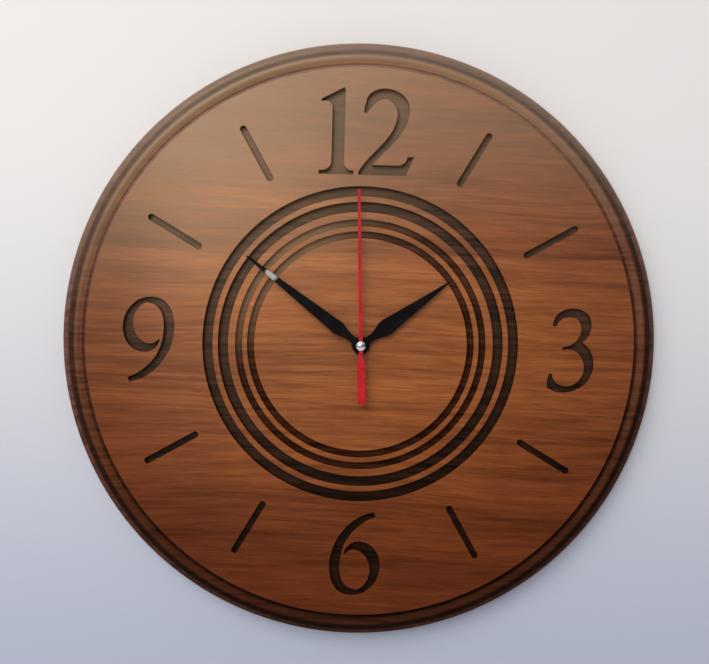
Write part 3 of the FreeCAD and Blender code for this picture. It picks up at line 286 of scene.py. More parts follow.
class Finish:
    """A material under construction: one Principled shader and the nodes that feed it."""

    def __init__(self, name, roughness=0.5, metallic=0.0, specular=0.5):
        self.material = bpy.data.materials.new(name)
        self.material.use_nodes = True
        self.tree = self.material.node_tree
        self.shader = self.tree.nodes["Principled BSDF"]
        for socket, value in (("Roughness", roughness), ("Metallic", metallic),
                              ("Specular IOR Level", specular)):
            self.feed(self.shader, socket, value)
        self.coordinates = self.tree.nodes.new("ShaderNodeTexCoord").outputs["Object"]

    def feed(self, node, socket, value):
        """Fills one socket, by name or place, from another socket or with a value."""
        target = node.inputs[socket]
        if isinstance(value, bpy.types.NodeSocket):
            self.tree.links.new(value, target)
        else:
            target.default_value = value

    def node(self, kind, **inputs):
        """A node whose sockets take a value or another node's socket."""
        made = self.tree.nodes.new(kind)
        for name, value in inputs.items():
            self.feed(made, name.replace("_", " "), value)
        return made

    def operated(self, kind, operation, values):
        """A node for one operation, with its values in order."""
        made = self.tree.nodes.new(kind)
        made.operation = operation
        for index, value in enumerate(values):
            self.feed(made, index, value)
        return made

    def vector(self, operation, *values):
        """The outcome of an operation on vectors."""
        made = self.operated("ShaderNodeVectorMath", operation, values)
        return made.outputs["Value" if operation == "LENGTH" else "Vector"]

    def math(self, operation, *values):
        """The outcome of an operation on numbers."""
        return self.operated("ShaderNodeMath", operation, values).outputs[0]

    def times(self, first, second):
        """The product of two numbers."""
        return self.math("MULTIPLY", first, second)

    def line(self, value, slope, start):
        """value times slope, counted from start."""
        return self.math("MULTIPLY_ADD", value, slope, start)

    def moved(self, location=(0, 0, 0), scale=(1, 1, 1), source=None):
        """Object coordinates shifted, then stretched."""
        return self.vector("MULTIPLY", self.vector("ADD", source or self.coordinates, location), scale)

    def noise(self, scale, vector, detail, rough):
        """Cloudy noise between nought and one."""
        return self.node("ShaderNodeTexNoise", Vector=vector, Scale=scale, Detail=detail,
                         Roughness=rough).outputs["Fac"]

    def between(self, value, low, high, to_low=0.0, to_high=1.0):
        """value taken from the range low to high, smoothly, to another range."""
        made = self.tree.nodes.new("ShaderNodeMapRange")
        made.interpolation_type = "SMOOTHSTEP"
        for socket, fed in (("Value", value), ("From Min", low), ("From Max", high),
                            ("To Min", to_low), ("To Max", to_high)):
            self.feed(made, socket, fed)
        return made.outputs["Result"]

    def ring(self, radius, inner, outer, fade):
        """One between two radii, nought elsewhere, with soft edges."""
        return self.math("SUBTRACT", self.between(radius, inner - fade / 2, inner + fade / 2),
                         self.between(radius, outer - fade / 2, outer + fade / 2))

    def blend(self, factor, first, second, mode="MIX"):
        """Two colours mixed by a factor."""
        made = self.tree.nodes.new("ShaderNodeMix")
        made.data_type = "RGBA"
        made.blend_type = mode
        for socket, value in zip(MIX_INPUTS, (factor, first, second)):
            self.feed(made, socket, (*value, 1.0) if isinstance(value, tuple) else value)
        return made.outputs[MIX_OUTPUT]

    def colour(self, value):
        """The surface's colour."""
        self.feed(self.shader, "Base Color", value)

    def roughness(self, value):
        """How far the surface scatters what it mirrors."""
        self.feed(self.shader, "Roughness", value)

    def bump(self, height, distance, strength=1.0):
        """Fine relief of the surface."""
        made = self.node("ShaderNodeBump", Height=height, Distance=distance, Strength=strength)
        self.feed(self.shader, "Normal", made.outputs["Normal"])


def colour_of(group, name):
    """One colour out of a property group."""
    return tuple(getattr(sizes(group), name))


class Walnut(Finish):
    """Stained walnut with its grain lying level, darker and glossier where it is routed, with painted light
    and shade: paler at the top left, darker outwards and towards the bottom.
    """

    def __init__(self, name):
        super().__init__(name, roughness=0.42)
        split = self.node("ShaderNodeSeparateXYZ", Vector=self.coordinates)
        self.x, self.z = split.outputs["X"], split.outputs["Z"]
        self.depth = self.math("SUBTRACT", split.outputs["Y"], FACE_Y)
        self.height = self.math("SUBTRACT", self.z, HUB.z)
        from_hub = self.vector("SUBTRACT", self.coordinates, (0, 0, HUB.z))
        self.across = self.vector("MULTIPLY", from_hub, (1, 0, 1))
        self.radius = self.vector("LENGTH", self.across)
        self.find_routed()
        self.find_lit_side()
        # Painted shade, the routed stain with its painted light and shade, painted sheen and a painted
        # highlight, in turn
        colour = self.shaded_by_place_and_plank(self.grain())
        colour = self.blend(self.routed, colour, self.stain(colour))
        colour = self.blend(self.painted_sheen(), colour, colour_of("wall_clock_wood", "painted_sheen_colour"))
        self.colour(self.painted_highlight(colour))
        self.lay_lacquer()

    def find_routed(self):
        """The routed places: the rim with its tones, the coves, and all that is sunk inside the rim."""
        edge = sizes("wall_clock_board").face_radius
        routed = self.between(self.depth, STAIN_STARTS, STAIN_FULL)
        from_back = self.between(self.depth, BOARD_DEPTH - BACK_STAIN_ENDS, BOARD_DEPTH - BACK_BARE)
        self.routed = self.math("SUBTRACT", routed, from_back)
        outside = self.between(self.radius, edge + RIM_STARTS, edge + RIM_FULL)
        self.on_rim = self.times(self.routed, outside)
        self.sunk = self.times(self.routed, self.math("SUBTRACT", 1.0, self.on_rim))
        self.tones = {}
        for name, (start, end, fade, _, _) in RIM_TONES.items():
            ring = self.ring(self.radius, edge + start, edge + end, fade)
            self.tones[name] = self.times(self.routed, ring)
        self.coves = self.times(self.routed, self.ring(self.radius, *COVE_TONE))

    def find_lit_side(self):
        """One on the lit side, towards the top and left, and nought on the shaded side towards the bottom;
        it sets painted light and shade.
        """
        leaning = self.between(self.radius, *LIT_SIDE_LEFT_RADII,
                               *(share / BOARD_RADIUS for share in LIT_SIDE_LEFT_SHARES))
        leftward = self.times(self.x, leaning)
        upward = self.times(self.height, LIT_SIDE_RISE_SHARE / BOARD_RADIUS)
        # Lit side for painted light and shade: up and to the left
        self.lit_side = self.between(self.math("ADD", leftward, upward), *LIT_SIDE_RANGE_SHARES)
        self.shaded_side = self.math("SUBTRACT", 1.0, self.lit_side)

    def grain(self):
        """The bare wood's colour: growth bands, streaks, fibres and open pores, plank by plank."""
        level = self.math("SUBTRACT", self.z, HUB.z + PLANK_JOINT)
        self.plank = self.math("FLOOR", self.math("DIVIDE", level, PLANK_WIDTH))
        slip = self.node("ShaderNodeCombineXYZ", X=self.times(self.plank, PLANK_SLIP))
        warp = self.node("ShaderNodeTexNoise", Vector=self.moved(scale=GRAIN_BEND_SCALES),
                         Scale=1.0, Detail=2.0)
        bent = self.vector("MULTIPLY_ADD", warp.outputs["Color"], GRAIN_BEND, self.coordinates)
        place = self.vector("ADD", bent, slip.outputs["Vector"])
        bands, self.streaks, fibres, pores = (
            self.noise(1.0, self.moved(shift, scales, place), detail, rough)
            for shift, scales, detail, rough in GRAIN_LAYERS.values())

        dark, light, pore = (colour_of("wall_clock_wood", n) for n in ("dark_grain", "light_grain", "pore"))
        tone = self.math("ADD", self.times(self.between(bands, 0.3, 0.7), BAND_TONE_SHARE),
                         self.times(self.between(self.streaks, 0.33, 0.67), STREAK_TONE_SHARE))
        self.fibre_share = self.between(fibres, 0.35, 0.7, 0.0, 0.4)
        self.pore_share = self.between(pores, 0.6, 0.74, 0.0, 0.35)
        colour = self.blend(self.fibre_share, self.blend(tone, dark, light), dark)
        return self.blend(self.pore_share, colour, pore)

    def tinted(self, colour, red, green, blue):
        """A colour multiplied channel by channel."""
        channels = self.node("ShaderNodeCombineColor", Red=red, Green=green, Blue=blue)
        return self.blend(1.0, colour, channels.outputs["Color"], "MULTIPLY")

    def shaded_by_place_and_plank(self, colour):
        """Painted shade, darker towards the rim and towards the bottom, with the wood's tone differing at
        random from plank to plank.
        """
        lowest, highest = (HUB.z + height for height in SHADE_HEIGHTS)
        # Painted shade outwards and downwards
        shaded_by_place_and_plank = self.times(self.between(self.radius, *SHADE_RADII, *SHADE_RADII_SHARES),
                           self.between(self.z, lowest, highest, *SHADE_HEIGHT_SHARES))
        chosen = self.tree.nodes.new("ShaderNodeTexWhiteNoise")
        chosen.noise_dimensions = "1D"
        self.feed(chosen, "W", self.math("ADD", self.plank, 3.0))
        by_plank = self.between(chosen.outputs["Value"], 0.0, 1.0, *PLANK_TONE_SHARES)
        shaded_by_place_and_plank = self.times(shaded_by_place_and_plank, by_plank)
        return self.tinted(colour, shaded_by_place_and_plank, self.math("POWER", shaded_by_place_and_plank, 1.35), self.math("POWER", shaded_by_place_and_plank, 1.5))

    def stain(self, colour):
        """The dark stain of the routed places, with painted light and shade: a painted highlight on the
        rim's crest, painted light band by band on the rim, lighter and paler at the top left and darker
        towards the bottom.
        """
        dark, light = (colour_of("wall_clock_wood", n) for n in ("routed_dark", "routed_light"))
        stain = self.blend(self.between(self.streaks, 0.36, 0.64), dark, light)
        stain = self.blend(self.pore_share, stain, dark)
        evened = tuple((low + high) / 2 for low, high in zip(dark, light))
        stain = self.blend(self.times(self.on_rim, 0.5), stain, evened)
        # Painted highlight: the crest of the rim's bead lighter, towards the bare wood's colour, and the
        # coves a little lighter too
        bare = self.math("ADD", self.times(self.tones["crest"], 0.4),
                         self.times(self.coves, 0.06))
        stain = self.blend(bare, stain, colour)

        # Painted light and shade on the rim's bands, growing towards the shaded side
        band_light = 1.0
        for name, (_, _, _, steady, growing) in RIM_TONES.items():
            here = self.line(self.shaded_side, growing, steady)
            band_light = self.line(self.tones[name], here, band_light)
        # Painted shade: the stain darker on the shaded side towards the bottom, lighter on the lit side
        lit_and_shaded = self.times(self.line(self.lit_side, 1.0, 0.35), band_light)
        # Painted sheen: the rim's stain paler at the top left
        sheen_paled = []
        for at_foot, at_head in RIM_SHEEN_PALING:
            more = self.between(self.lit_side, 0.0, 1.0, at_foot, at_head)
            sheen_paled.append(self.times(lit_and_shaded, self.line(self.on_rim, more, 1.0)))
        return self.tinted(stain, lit_and_shaded, *sheen_paled)

    def painted_sheen(self):
        """How far the painted sheen, a pale colour that stands for mirrored light, hides the wood."""
        share = self.line(self.tones["crest"], 0.12, 0.2)
        share = self.line(self.sunk, -0.1, share)
        share = self.line(self.tones["ledge"], -0.1, share)
        share = self.times(share, self.between(self.streaks, 0.2, 0.8, 1.2, 0.8))
        # Painted sheen only on the lit side
        share = self.times(self.between(self.lit_side, 0.55, 1.0), share)
        pockets = self.times(self.sunk, self.between(self.radius, *POCKET_SHEEN_RADII))
        pockets = self.times(pockets, self.between(self.height, *POCKET_SHEEN_HEIGHTS, 0.0, 0.09))
        leftward = self.between(self.math("SUBTRACT", self.height, self.x), *COVE_SHEEN_LEFTWARD, 0.0, 0.17)
        return self.math("ADD", share, self.line(self.coves, leftward, pockets))

    def painted_highlight(self, colour):
        """Painted highlight: the wood lighter above and left of the hands, where the window's light falls.
        """
        away = self.vector("LENGTH", self.vector("SUBTRACT", self.across, HIGHLIGHT_PLACE))
        share = self.between(away, *HIGHLIGHT_RADII, HIGHLIGHT_SHARE, 0.0)
        return self.tinted(colour, self.math("ADD", share, 1.0), self.line(share, 1.15, 1.0),
                           self.line(share, 0.9, 1.0))

    def lay_lacquer(self):
        """Gloss, shine and the faint relief of fibres and pores."""
        dulled = self.times(self.on_rim, self.shaded_side)
        dulled = self.times(dulled, self.line(self.tones["crest"], -0.8, 1.0))
        rough = self.math("ADD", self.between(self.streaks, 0.3, 0.7, 0.33, 0.43),
                          self.times(self.coves, 0.2))
        rough = self.line(dulled, 0.25, rough)
        self.roughness(self.line(self.routed, 0.05, rough))
        relief = self.math("SUBTRACT", self.times(self.fibre_share, -0.6), self.pore_share)
        self.bump(relief, WOOD_RELIEF, 0.7)

        shine = self.line(self.lit_side, 0.95, 0.15)
        shine = self.times(shine, self.between(self.x, *DULL_LEFT, 0.6, 1.0))
        shine = self.line(self.times(self.routed, shine), -0.5, shine)
        hollow = self.math("ADD", self.tones["quirk"], self.tones["ledge"])
        for place, less in ((self.coves, -0.2), (hollow, -0.3), (dulled, -0.15)):
            shine = self.line(place, less, shine)
        self.feed(self.shader, "Specular IOR Level", self.math("MAXIMUM", shine, 0.02))
        self.shader.inputs["Specular Tint"].default_value = (1.0, 0.88, 0.66, 1.0)


def lacquer(name, colour, roughness, specular=0.5, glint_hand=None):
    """Hard paint on pressed metal, with a faint ripple, fine rubs and perhaps one painted glint: a pale
    place that stands for a highlight.
    """
    paint = Finish(name, roughness=roughness, specular=specular)
    rub = paint.noise(900.0, paint.coordinates, 3.0, 0.6)
    cloud = paint.noise(120.0, paint.coordinates, 2.0, 0.5)
    lighter = tuple(min(1.0, c * 1.5 + 0.004) for c in colour)
    painted = paint.blend(paint.between(cloud, 0.35, 0.7, 0.0, 0.5), colour, lighter)
    # Painted glint: a pale place near the minute hand's tip stands for a highlight
    if glint_hand:
        place = along_hand(glint_hand, GLINT_AT_SHARE)
        away = paint.vector("LENGTH", paint.vector("SUBTRACT", paint.coordinates, place))
        frayed = paint.math("MULTIPLY_ADD", rub, GLINT_FRAY, away)
        bare = paint.between(frayed, GLINT_FULL, GLINT_EDGE, 1.0, 0.0)
        painted = paint.blend(bare, painted, GLINT_COLOUR)
    paint.colour(painted)
    paint.roughness(paint.between(rub, 0.3, 0.7, roughness * 0.8, roughness * 1.25))
    paint.bump(cloud, LACQUER_RIPPLE, 0.3)
    return paint


def bright_metal(name, colour, roughness, brushed=(600, 600, 600)):
    """Plated or plain metal with fine lines along one direction."""
    metal = Finish(name, roughness=roughness, metallic=1.0)
    lines = metal.noise(1.0, metal.moved(scale=brushed), 3.0, 0.6)
    stains = metal.noise(70.0, metal.coordinates, 3.0, 0.6)
    duller = tuple(c * 0.72 for c in colour)
    metal.colour(metal.blend(metal.between(stains, 0.4, 0.75, 0.0, 0.6), colour, duller))
    metal.roughness(metal.between(lines, 0.3, 0.7, roughness * 0.75, roughness * 1.35))
    metal.bump(lines, METAL_LINES, 0.35)
    return metal


def moulded_plastic(name, colour, roughness, grain=2200.0):
    """Injection-moulded plastic with a spark-eroded skin."""
    plastic = Finish(name, roughness=roughness)
    skin = plastic.noise(grain, plastic.coordinates, 2.0, 0.5)
    flow = plastic.noise(60.0, plastic.coordinates, 3.0, 0.55)
    lighter = tuple(min(1.0, c * 1.35 + 0.006) for c in colour)
    plastic.colour(plastic.blend(plastic.between(flow, 0.35, 0.7, 0.0, 0.6), colour, lighter))
    plastic.roughness(plastic.between(skin, 0.3, 0.7, roughness * 0.88, min(1.0, roughness * 1.15)))
    plastic.bump(skin, PLASTIC_SKIN, 0.35)
    return plastic


def wound_copper(name):
    """Fine enamelled wire, laid turn beside turn along the bobbin."""
    wire = Finish(name, roughness=0.32, metallic=0.85)
    turns = wire.node("ShaderNodeTexWave", Vector=wire.coordinates, Scale=1800.0, Distortion=0.6)
    turns.wave_type = "BANDS"
    turns.bands_direction = "X"
    wire.colour(wire.blend(turns.outputs["Fac"], (0.28, 0.085, 0.03), (0.72, 0.27, 0.11)))
    wire.bump(turns.outputs["Fac"], WIRE_RELIEF, 0.8)
    return wire


def circuit_laminate(name):
    """Brown paper laminate with a faint weave and tinned tracks."""
    card = Finish(name, roughness=0.5)
    weave = card.noise(1.0, card.moved(scale=(1400, 1400, 500)), 2.0, 0.5)
    tracks = card.node("ShaderNodeTexBrick", Vector=card.moved(scale=(260, 260, 260)), Mortar_Size=0.12)
    base = card.blend(card.between(weave, 0.3, 0.7), (0.16, 0.085, 0.03), (0.24, 0.13, 0.05))
    card.colour(card.blend(tracks.outputs["Fac"], base, (0.42, 0.36, 0.26)))
    card.bump(weave, LAMINATE_RELIEF, 0.4)
    return card


def battery_sleeve(name):
    """Printed sleeve in two plain colours, with bare steel at both ends."""
    sleeve = Finish(name, roughness=0.28)
    split = sleeve.node("ShaderNodeSeparateXYZ", Vector=sleeve.coordinates)
    along = split.outputs["X"]
    span = battery_high.x - battery_low.x
    band = sleeve.between(along, *(battery_high.x - share * span for share in SLEEVE_BAND_SHARES))
    cloud = sleeve.noise(90.0, sleeve.coordinates, 2.0, 0.5)
    blue = sleeve.blend(sleeve.between(cloud, 0.35, 0.7), (0.02, 0.055, 0.2), (0.028, 0.075, 0.26))
    grey = sleeve.blend(sleeve.between(cloud, 0.35, 0.7), (0.42, 0.4, 0.38), (0.5, 0.48, 0.45))
    colour = sleeve.blend(band, blue, grey)
    near_plus = sleeve.between(along, *(battery_high.x - width for width in BARE_AT_PLUS))
    near_minus = sleeve.between(along, *(battery_low.x + width for width in BARE_AT_MINUS), 1.0, 0.0)
    bare = sleeve.math("MAXIMUM", near_plus, near_minus)
    sleeve.colour(sleeve.blend(bare, colour, (0.62, 0.61, 0.58)))
    sleeve.feed(sleeve.shader, "Metallic", bare)
    sleeve.bump(cloud, LACQUER_RIPPLE, 0.2)
    return sleeve


def wall_paint(name):
    """Matt wall paint with painted shade, darker and bluer lower down, and see-through from behind."""
    wall = Finish(name, roughness=0.9, specular=0.2)
    split = wall.node("ShaderNodeSeparateXYZ", Vector=wall.coordinates)
    # Painted shade: darker and bluer lower down
    height = wall.between(split.outputs["Z"], *(HUB.z + level for level in WALL_SHADE_HEIGHTS))
    wall.colour(wall.blend(height, *WALL_SHADE_TINTS))
    plaster = wall.noise(420.0, wall.coordinates, 3.0, 0.5)
    wall.bump(plaster, PLASTER_RELIEF, 0.25)
    geometry = wall.tree.nodes.new("ShaderNodeNewGeometry")
    clear = wall.tree.nodes.new("ShaderNodeBsdfTransparent")
    either = wall.tree.nodes.new("ShaderNodeMixShader")
    output = wall.tree.nodes["Material Output"]
    either_way = (geometry.outputs["Backfacing"], wall.shader.outputs[0], clear.outputs[0])
    for index, socket in enumerate(either_way):
        wall.feed(either, index, socket)
    wall.feed(output, "Surface", either.outputs[0])
    return wall


def floor_paint(name):
    """Pale matt floor paint."""
    floor = Finish(name, roughness=0.8, specular=0.2)
    cloud = floor.noise(3.0, floor.coordinates, 2.0, 0.5)
    floor.colour(floor.blend(cloud, *FLOOR_GREYS))
    return floor


def along_hand(node, share):
    """The point on a hand at a share of the way from its arbor to its tip."""
    tip = max((vertex.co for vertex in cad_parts[node].data.vertices),
              key=lambda point: (point - HUB).length)
    return Vector((HUB.x, tip.y, HUB.z)).lerp(tip, share)


FINISHES = {}
MAKERS = {
    "walnut": (Walnut,),
    "hand_black": (lacquer, "hand_black", 0.3, 0.05),
    # Black lacquer with a painted glint near the minute hand's tip
    "hand_black_rubbed": (lacquer, "hand_black", 0.3, 0.05, "minute_hand"),
    "second_red": (lacquer, "second_red", 0.4, 0.25),
    "cap_chrome": (bright_metal, (0.86, 0.86, 0.88), 0.12),
    "nut_black": (lacquer, (0.012, 0.011, 0.011), 0.3),
    "washer_black": (moulded_plastic, (0.012, 0.012, 0.012), 0.6),
    "zinc": (bright_metal, (0.52, 0.52, 0.51), 0.42, (60, 900, 900)),
    "screw_steel": (bright_metal, (0.55, 0.5, 0.38), 0.34),
    "case_black": (moulded_plastic, "case_black", 0.52),
    "gasket_rubber": (moulded_plastic, (0.02, 0.02, 0.02), 0.85, 900.0),
    "gear_acetal": (moulded_plastic, (0.74, 0.73, 0.69), 0.38, 1200.0),
    "knob_acetal": (moulded_plastic, (0.66, 0.65, 0.62), 0.4, 1400.0),
    "bobbin_green": (moulded_plastic, (0.05, 0.2, 0.08), 0.4),
    "magnet_grey": (bright_metal, (0.16, 0.16, 0.17), 0.45),
    "soft_iron": (bright_metal, (0.52, 0.51, 0.49), 0.4, (80, 900, 900)),
    "enamelled_copper": (wound_copper,),
    "circuit_laminate": (circuit_laminate,),
    "crystal_steel": (bright_metal, (0.75, 0.75, 0.73), 0.22),
    "chip_resin": (lacquer, (0.01, 0.01, 0.011), 0.24),
    "battery_sleeve": (battery_sleeve,),
    "contact_nickel": (bright_metal, (0.78, 0.75, 0.68), 0.24, (900, 900, 80)),
    "wall_paint": (wall_paint,),
    "floor_paint": (floor_paint,),
}


def finish(name):
    """Each finish is made once and then shared. A colour given by name is one of the scene's."""
    if name not in FINISHES:
        maker, *settings = MAKERS[name]
        if settings and isinstance(settings[0], str):
            settings[0] = colour_of("wall_clock_metal", settings[0])
        FINISHES[name] = maker(name, *settings).material
    return FINISHES[name]


# Mesh building

def shade(mesh):
    """Curved walls shade smooth, hard edges stay hard and level faces stay flat."""
    mesh.shade_smooth()
    mesh.set_sharp_from_angle(angle=SHARP_ANGLE)
    for polygon in mesh.polygons:
        if abs(polygon.normal.y) > LEVEL_COSINE:
            polygon.use_smooth = False


def placed(name, shape):
    """An object in the scene, at the origin, made from a bmesh."""
    mesh = bpy.data.meshes.new(name)
    shape.to_mesh(mesh)
    shape.free()
    made = bpy.data.objects.new(name, mesh)
    bpy.context.scene.collection.objects.link(made)
    return made


def linked(name, shape, material):
    """A finished piece made from a bmesh, with normals outward and hard edges marked."""
    bmesh.ops.recalc_face_normals(shape, faces=shape.faces)
    piece = placed(name, shape)
    shade(piece.data)
    piece.data.materials.append(material)
    return piece


def merged_copy(node):
    """A copy of a node's mesh with its loose triangles joined and its flat faces made whole."""
    shape = bmesh.new()
    shape.from_mesh(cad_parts[node].data)
    bmesh.ops.remove_doubles(shape, verts=shape.verts, dist=SAME_POINT)
    bmesh.ops.dissolve_limit(shape, angle_limit=FLAT_ANGLE, verts=shape.verts, edges=shape.edges)
    return shape


def eased_piece(name, node, body, material, width):
    """Stands for a node, with its hard edges eased as moulding, pressing or turning leaves them."""
    shape = merged_copy(node)
    hard = [edge for edge in shape.edges if edge.is_manifold and edge.calc_face_angle() > HARD_ANGLE]
    bmesh.ops.bevel(shape, geom=hard, offset=width, offset_type="OFFSET", segments=2,
                    profile=0.5, affect="EDGES", clamp_overlap=True, material=-1)
    piece = linked(name, shape, material)
    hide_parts(node)
    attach(piece, body)


def arc_points(start, middle, end, steps):
    """Points on the arc through three places in the board's half section."""
    (ax, ay), (bx, by), (cx, cy) = start, middle, end
    scale = 2 * (ax * (by - cy) + bx * (cy - ay) + cx * (ay - by))
    a, b, c = ax * ax + ay * ay, bx * bx + by * by, cx * cx + cy * cy
    centre = Vector(((a * (by - cy) + b * (cy - ay) + c * (ay - by)) / scale,
                     (a * (cx - bx) + b * (ax - cx) + c * (bx - ax)) / scale))
    first, second, third = (Vector(place) - centre for place in (start, middle, end))
    turn = first.angle_signed(second) + second.angle_signed(third)
    return [tuple(centre + Matrix.Rotation(-turn * step / steps, 2) @ first) for step in range(steps + 1)]


def past_edge(places):
    """Places in the rim's section, from widths out from the edge of the flat face."""
    edge = sizes("wall_clock_board").face_radius
    return [(edge + out, depth) for out, depth in places]


def board_section():
    """Closed half section of the board as (radius, depth below the face)."""
    board = sizes("wall_clock_board")
    ease, floor = board.eased_edge, board.groove_depth
    section = [(board.stem_hole_radius, BOARD_DEPTH), (board.stem_hole_radius, 0.0)]
    rings = [(radius, board.cove_width, True) for radius in COVE_RADII]
    rings += [(radius, board.groove_width, False) for radius in FLAT_GROOVE_RADII]
    for radius, width, is_cove in rings:
        inner, outer = radius - width / 2, radius + width / 2
        section.append((inner - ease, 0.0))
        if is_cove:
            section += arc_points((inner, ease), (radius, board.cove_depth), (outer, ease), steps=14)
        else:
            section += [(inner, ease), (inner, floor - GROOVE_FLOOR_ROUND),
                        (inner + GROOVE_FLOOR_ROUND, floor), (outer - GROOVE_FLOOR_ROUND, floor),
                        (outer, floor - GROOVE_FLOOR_ROUND), (outer, ease)]
        section.append((outer + ease, 0.0))
    for places, steps in ((FACE_ROUND, 4), (STEP_FOOT, 6), (BEAD, 20)):
        section += arc_points(*past_edge(places), steps)
    section += past_edge(LEDGE)
    brim_start, brim_depth = past_edge([BRIM_START])[0]
    for step in range(BRIM_STEPS + 1):
        swing = math.pi / 2 * step / BRIM_STEPS
        section.append((brim_start + (BOARD_RADIUS - brim_start) * math.sin(swing),
                        brim_depth + BRIM_FALL * (1 - math.cos(swing))))
    halfway = BACK_ROUND * BACK_ROUND_SHARE
    section += arc_points((BOARD_RADIUS, BOARD_DEPTH - BACK_ROUND),
                          (BOARD_RADIUS - halfway, BOARD_DEPTH - halfway),
                          (BOARD_RADIUS - BACK_ROUND, BOARD_DEPTH), steps=4)
    return section


def spun_board():
    """The board's section spun once round the hands' axis, as a closed solid."""
    board = sizes("wall_clock_board")
    shape = bmesh.new()
    verts = [shape.verts.new((radius, FACE_Y + depth, HUB.z)) for radius, depth in board_section()]
    edges = [shape.edges.new(pair) for pair in zip(verts, verts[1:] + verts[:1])]
    bmesh.ops.spin(shape, geom=verts + edges, cent=HUB, axis=(0, 1, 0), dvec=(0, 0, 0),
                   angle=math.tau, steps=board.turns, use_merge=True, use_duplicate=False)
    bmesh.ops.remove_doubles(shape, verts=shape.verts, dist=SAME_SECTION_POINT)
    bmesh.ops.recalc_face_normals(shape, faces=shape.faces)
    return shape


def pocket_floors(level, outside_radius=0.0):
    """The node's flat floors at one depth under the face, facing either way, beyond a radius."""
    shape = merged_copy("dial_board")
    drop = []
    for face in shape.faces:
        middle = face.calc_center_median()
        flat = abs(face.normal.y) > FLOOR_COSINE and abs(middle.y - FACE_Y - level) < SAME_LEVEL
        if not flat or math.hypot(middle.x - HUB.x, middle.z - HUB.z) <= outside_radius:
            drop.append(face)
    bmesh.ops.delete(shape, geom=drop, context="FACES")
    return shape


def let_out(faces, flare):
    """Moves the outline of level faces outward in their own plane."""
    inside = set(faces)
    pushes = {}
    for face in faces:
        face.normal_update()
        for loop in face.loops:
            if all(other in inside for other in loop.edge.link_faces):
                continue
            along = loop.link_loop_next.vert.co - loop.vert.co
            for vert in loop.edge.verts:
                pushes.setdefault(vert, []).append(along.cross(face.normal).normalized())
    for vert, parts in pushes.items():
        total = sum(parts, Vector())
        vert.co += total * flare * len(parts) / max(total.length_squared, 1.0)


def raised(shape, faces, to_y, flare=0.0):
    """The faces drawn out to a depth, with their outline let out by flare as they go."""
    edges = {edge for face in faces for edge in face.edges}
    result = bmesh.ops.extrude_face_region(shape, geom=faces + list(edges))
    caps = [g for g in result["geom"] if isinstance(g, bmesh.types.BMFace)]
    for vert in {vert for cap in caps for vert in cap.verts}:
        vert.co.y = to_y
    let_out(caps, flare)
    return caps


def cutter(name, level, to_depth, outside_radius=0.0, flare=0.0):
    """A closed tool that sinks a set of pockets, in one depth, into the board."""
    shape = pocket_floors(level, outside_radius)
    floors = shape.faces[:]
    if to_depth < level:
        caps = raised(shape, floors, FACE_Y + flare)
        raised(shape, caps, FACE_Y - flare, 2 * flare)
    else:
        raised(shape, floors, FACE_Y + to_depth)
    bmesh.ops.recalc_face_normals(shape, faces=shape.faces)
    return placed(name, shape)


def cut_with(piece, tools):
    """Sinks the tools into the piece one after another and then clears them away."""
    for tool in tools:
        modifier = piece.modifiers.new("cut", "BOOLEAN")
        modifier.operation = "DIFFERENCE"
        modifier.solver = "MANIFOLD"
        modifier.object = tool
    bpy.context.view_layer.update()
    evaluated = piece.evaluated_get(bpy.context.evaluated_depsgraph_get())
    mesh = bpy.data.meshes.new_from_object(evaluated)
    piece.modifiers.clear()
    piece.data = mesh
    for tool in tools:
        bpy.data.objects.remove(tool)
    shade(mesh)


# Pieces

class WALLCLOCK_OT_board(bpy.types.Operator):
    """Spin the board and rout its numerals, slots and back pockets"""

    bl_idname = "wall_clock.board"
    bl_label = "Board"

    def execute(self, context):
        board = sizes("wall_clock_board")
        piece = linked("routed_board", spun_board(), finish("walnut"))
        beyond_back = BOARD_DEPTH + TOOL_OVERRUN
        tools = [
            cutter("numeral_tool", board.groove_depth, 0.0, NUMERALS_OUTSIDE, board.eased_edge),
            cutter("movement_tool", MOVEMENT_FLOOR, beyond_back),
            cutter("recess_tool", BOARD_DEPTH - RECESS_DEPTH, beyond_back),
            cutter("cavity_tool", BOARD_DEPTH - CAVITY_DEPTH, beyond_back),
            cutter("pilot_tool", PILOT_FLOOR, beyond_back),
        ]
        cut_with(piece, tools)
        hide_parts("dial_board")
        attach(piece, "clock_body")
        return {"FINISHED"}


class Dresser:
    """Eases the edges of some nodes, in pieces that stand for them, and finishes others as they are."""

    eased = ()
    dressed = {}

    def execute(self, context):
        for name, node, body, slot, finish_name, edge in self.eased:
            width = getattr(sizes("wall_clock_edges"), edge)
            eased_piece(name, node, body, finish(finish_name), width)
        for finish_name, nodes in self.dressed.items():
            for node in nodes:
                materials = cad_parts[node].data.materials
                materials.clear()
                materials.append(finish(finish_name))
        return {"FINISHED"}


class WALLCLOCK_OT_hands(Dresser, bpy.types.Operator):
    """Ease the edges of the hour, minute and second hands and finish their cap"""

    bl_idname = "wall_clock.hands"
    bl_label = "Hands"
    eased = (
        ("hour_hand_pressed", "hour_hand", "hour_group", "black_lacquer", "hand_black", "hand_edge"),
        ("minute_hand_pressed", "minute_hand", "minute_group", "black_lacquer", "hand_black_rubbed",
         "hand_edge"),
        ("second_hand_pressed", "second_hand", "second_group", "red_lacquer", "second_red",
         "second_hand_edge"),
    )
    dressed = {"cap_chrome": ["second_hand_cap"]}


class WALLCLOCK_OT_stem(Dresser, bpy.types.Operator):
    """Finish the nut and washer that clamp the movement"""

    bl_idname = "wall_clock.stem"
    bl_label = "Stem nut and washer"
    eased = (("stem_nut_turned", "stem_nut", "clock_body", "black_nut", "nut_black", "nut_edge"),)
    dressed = {"washer_black": ["stem_washer"]}


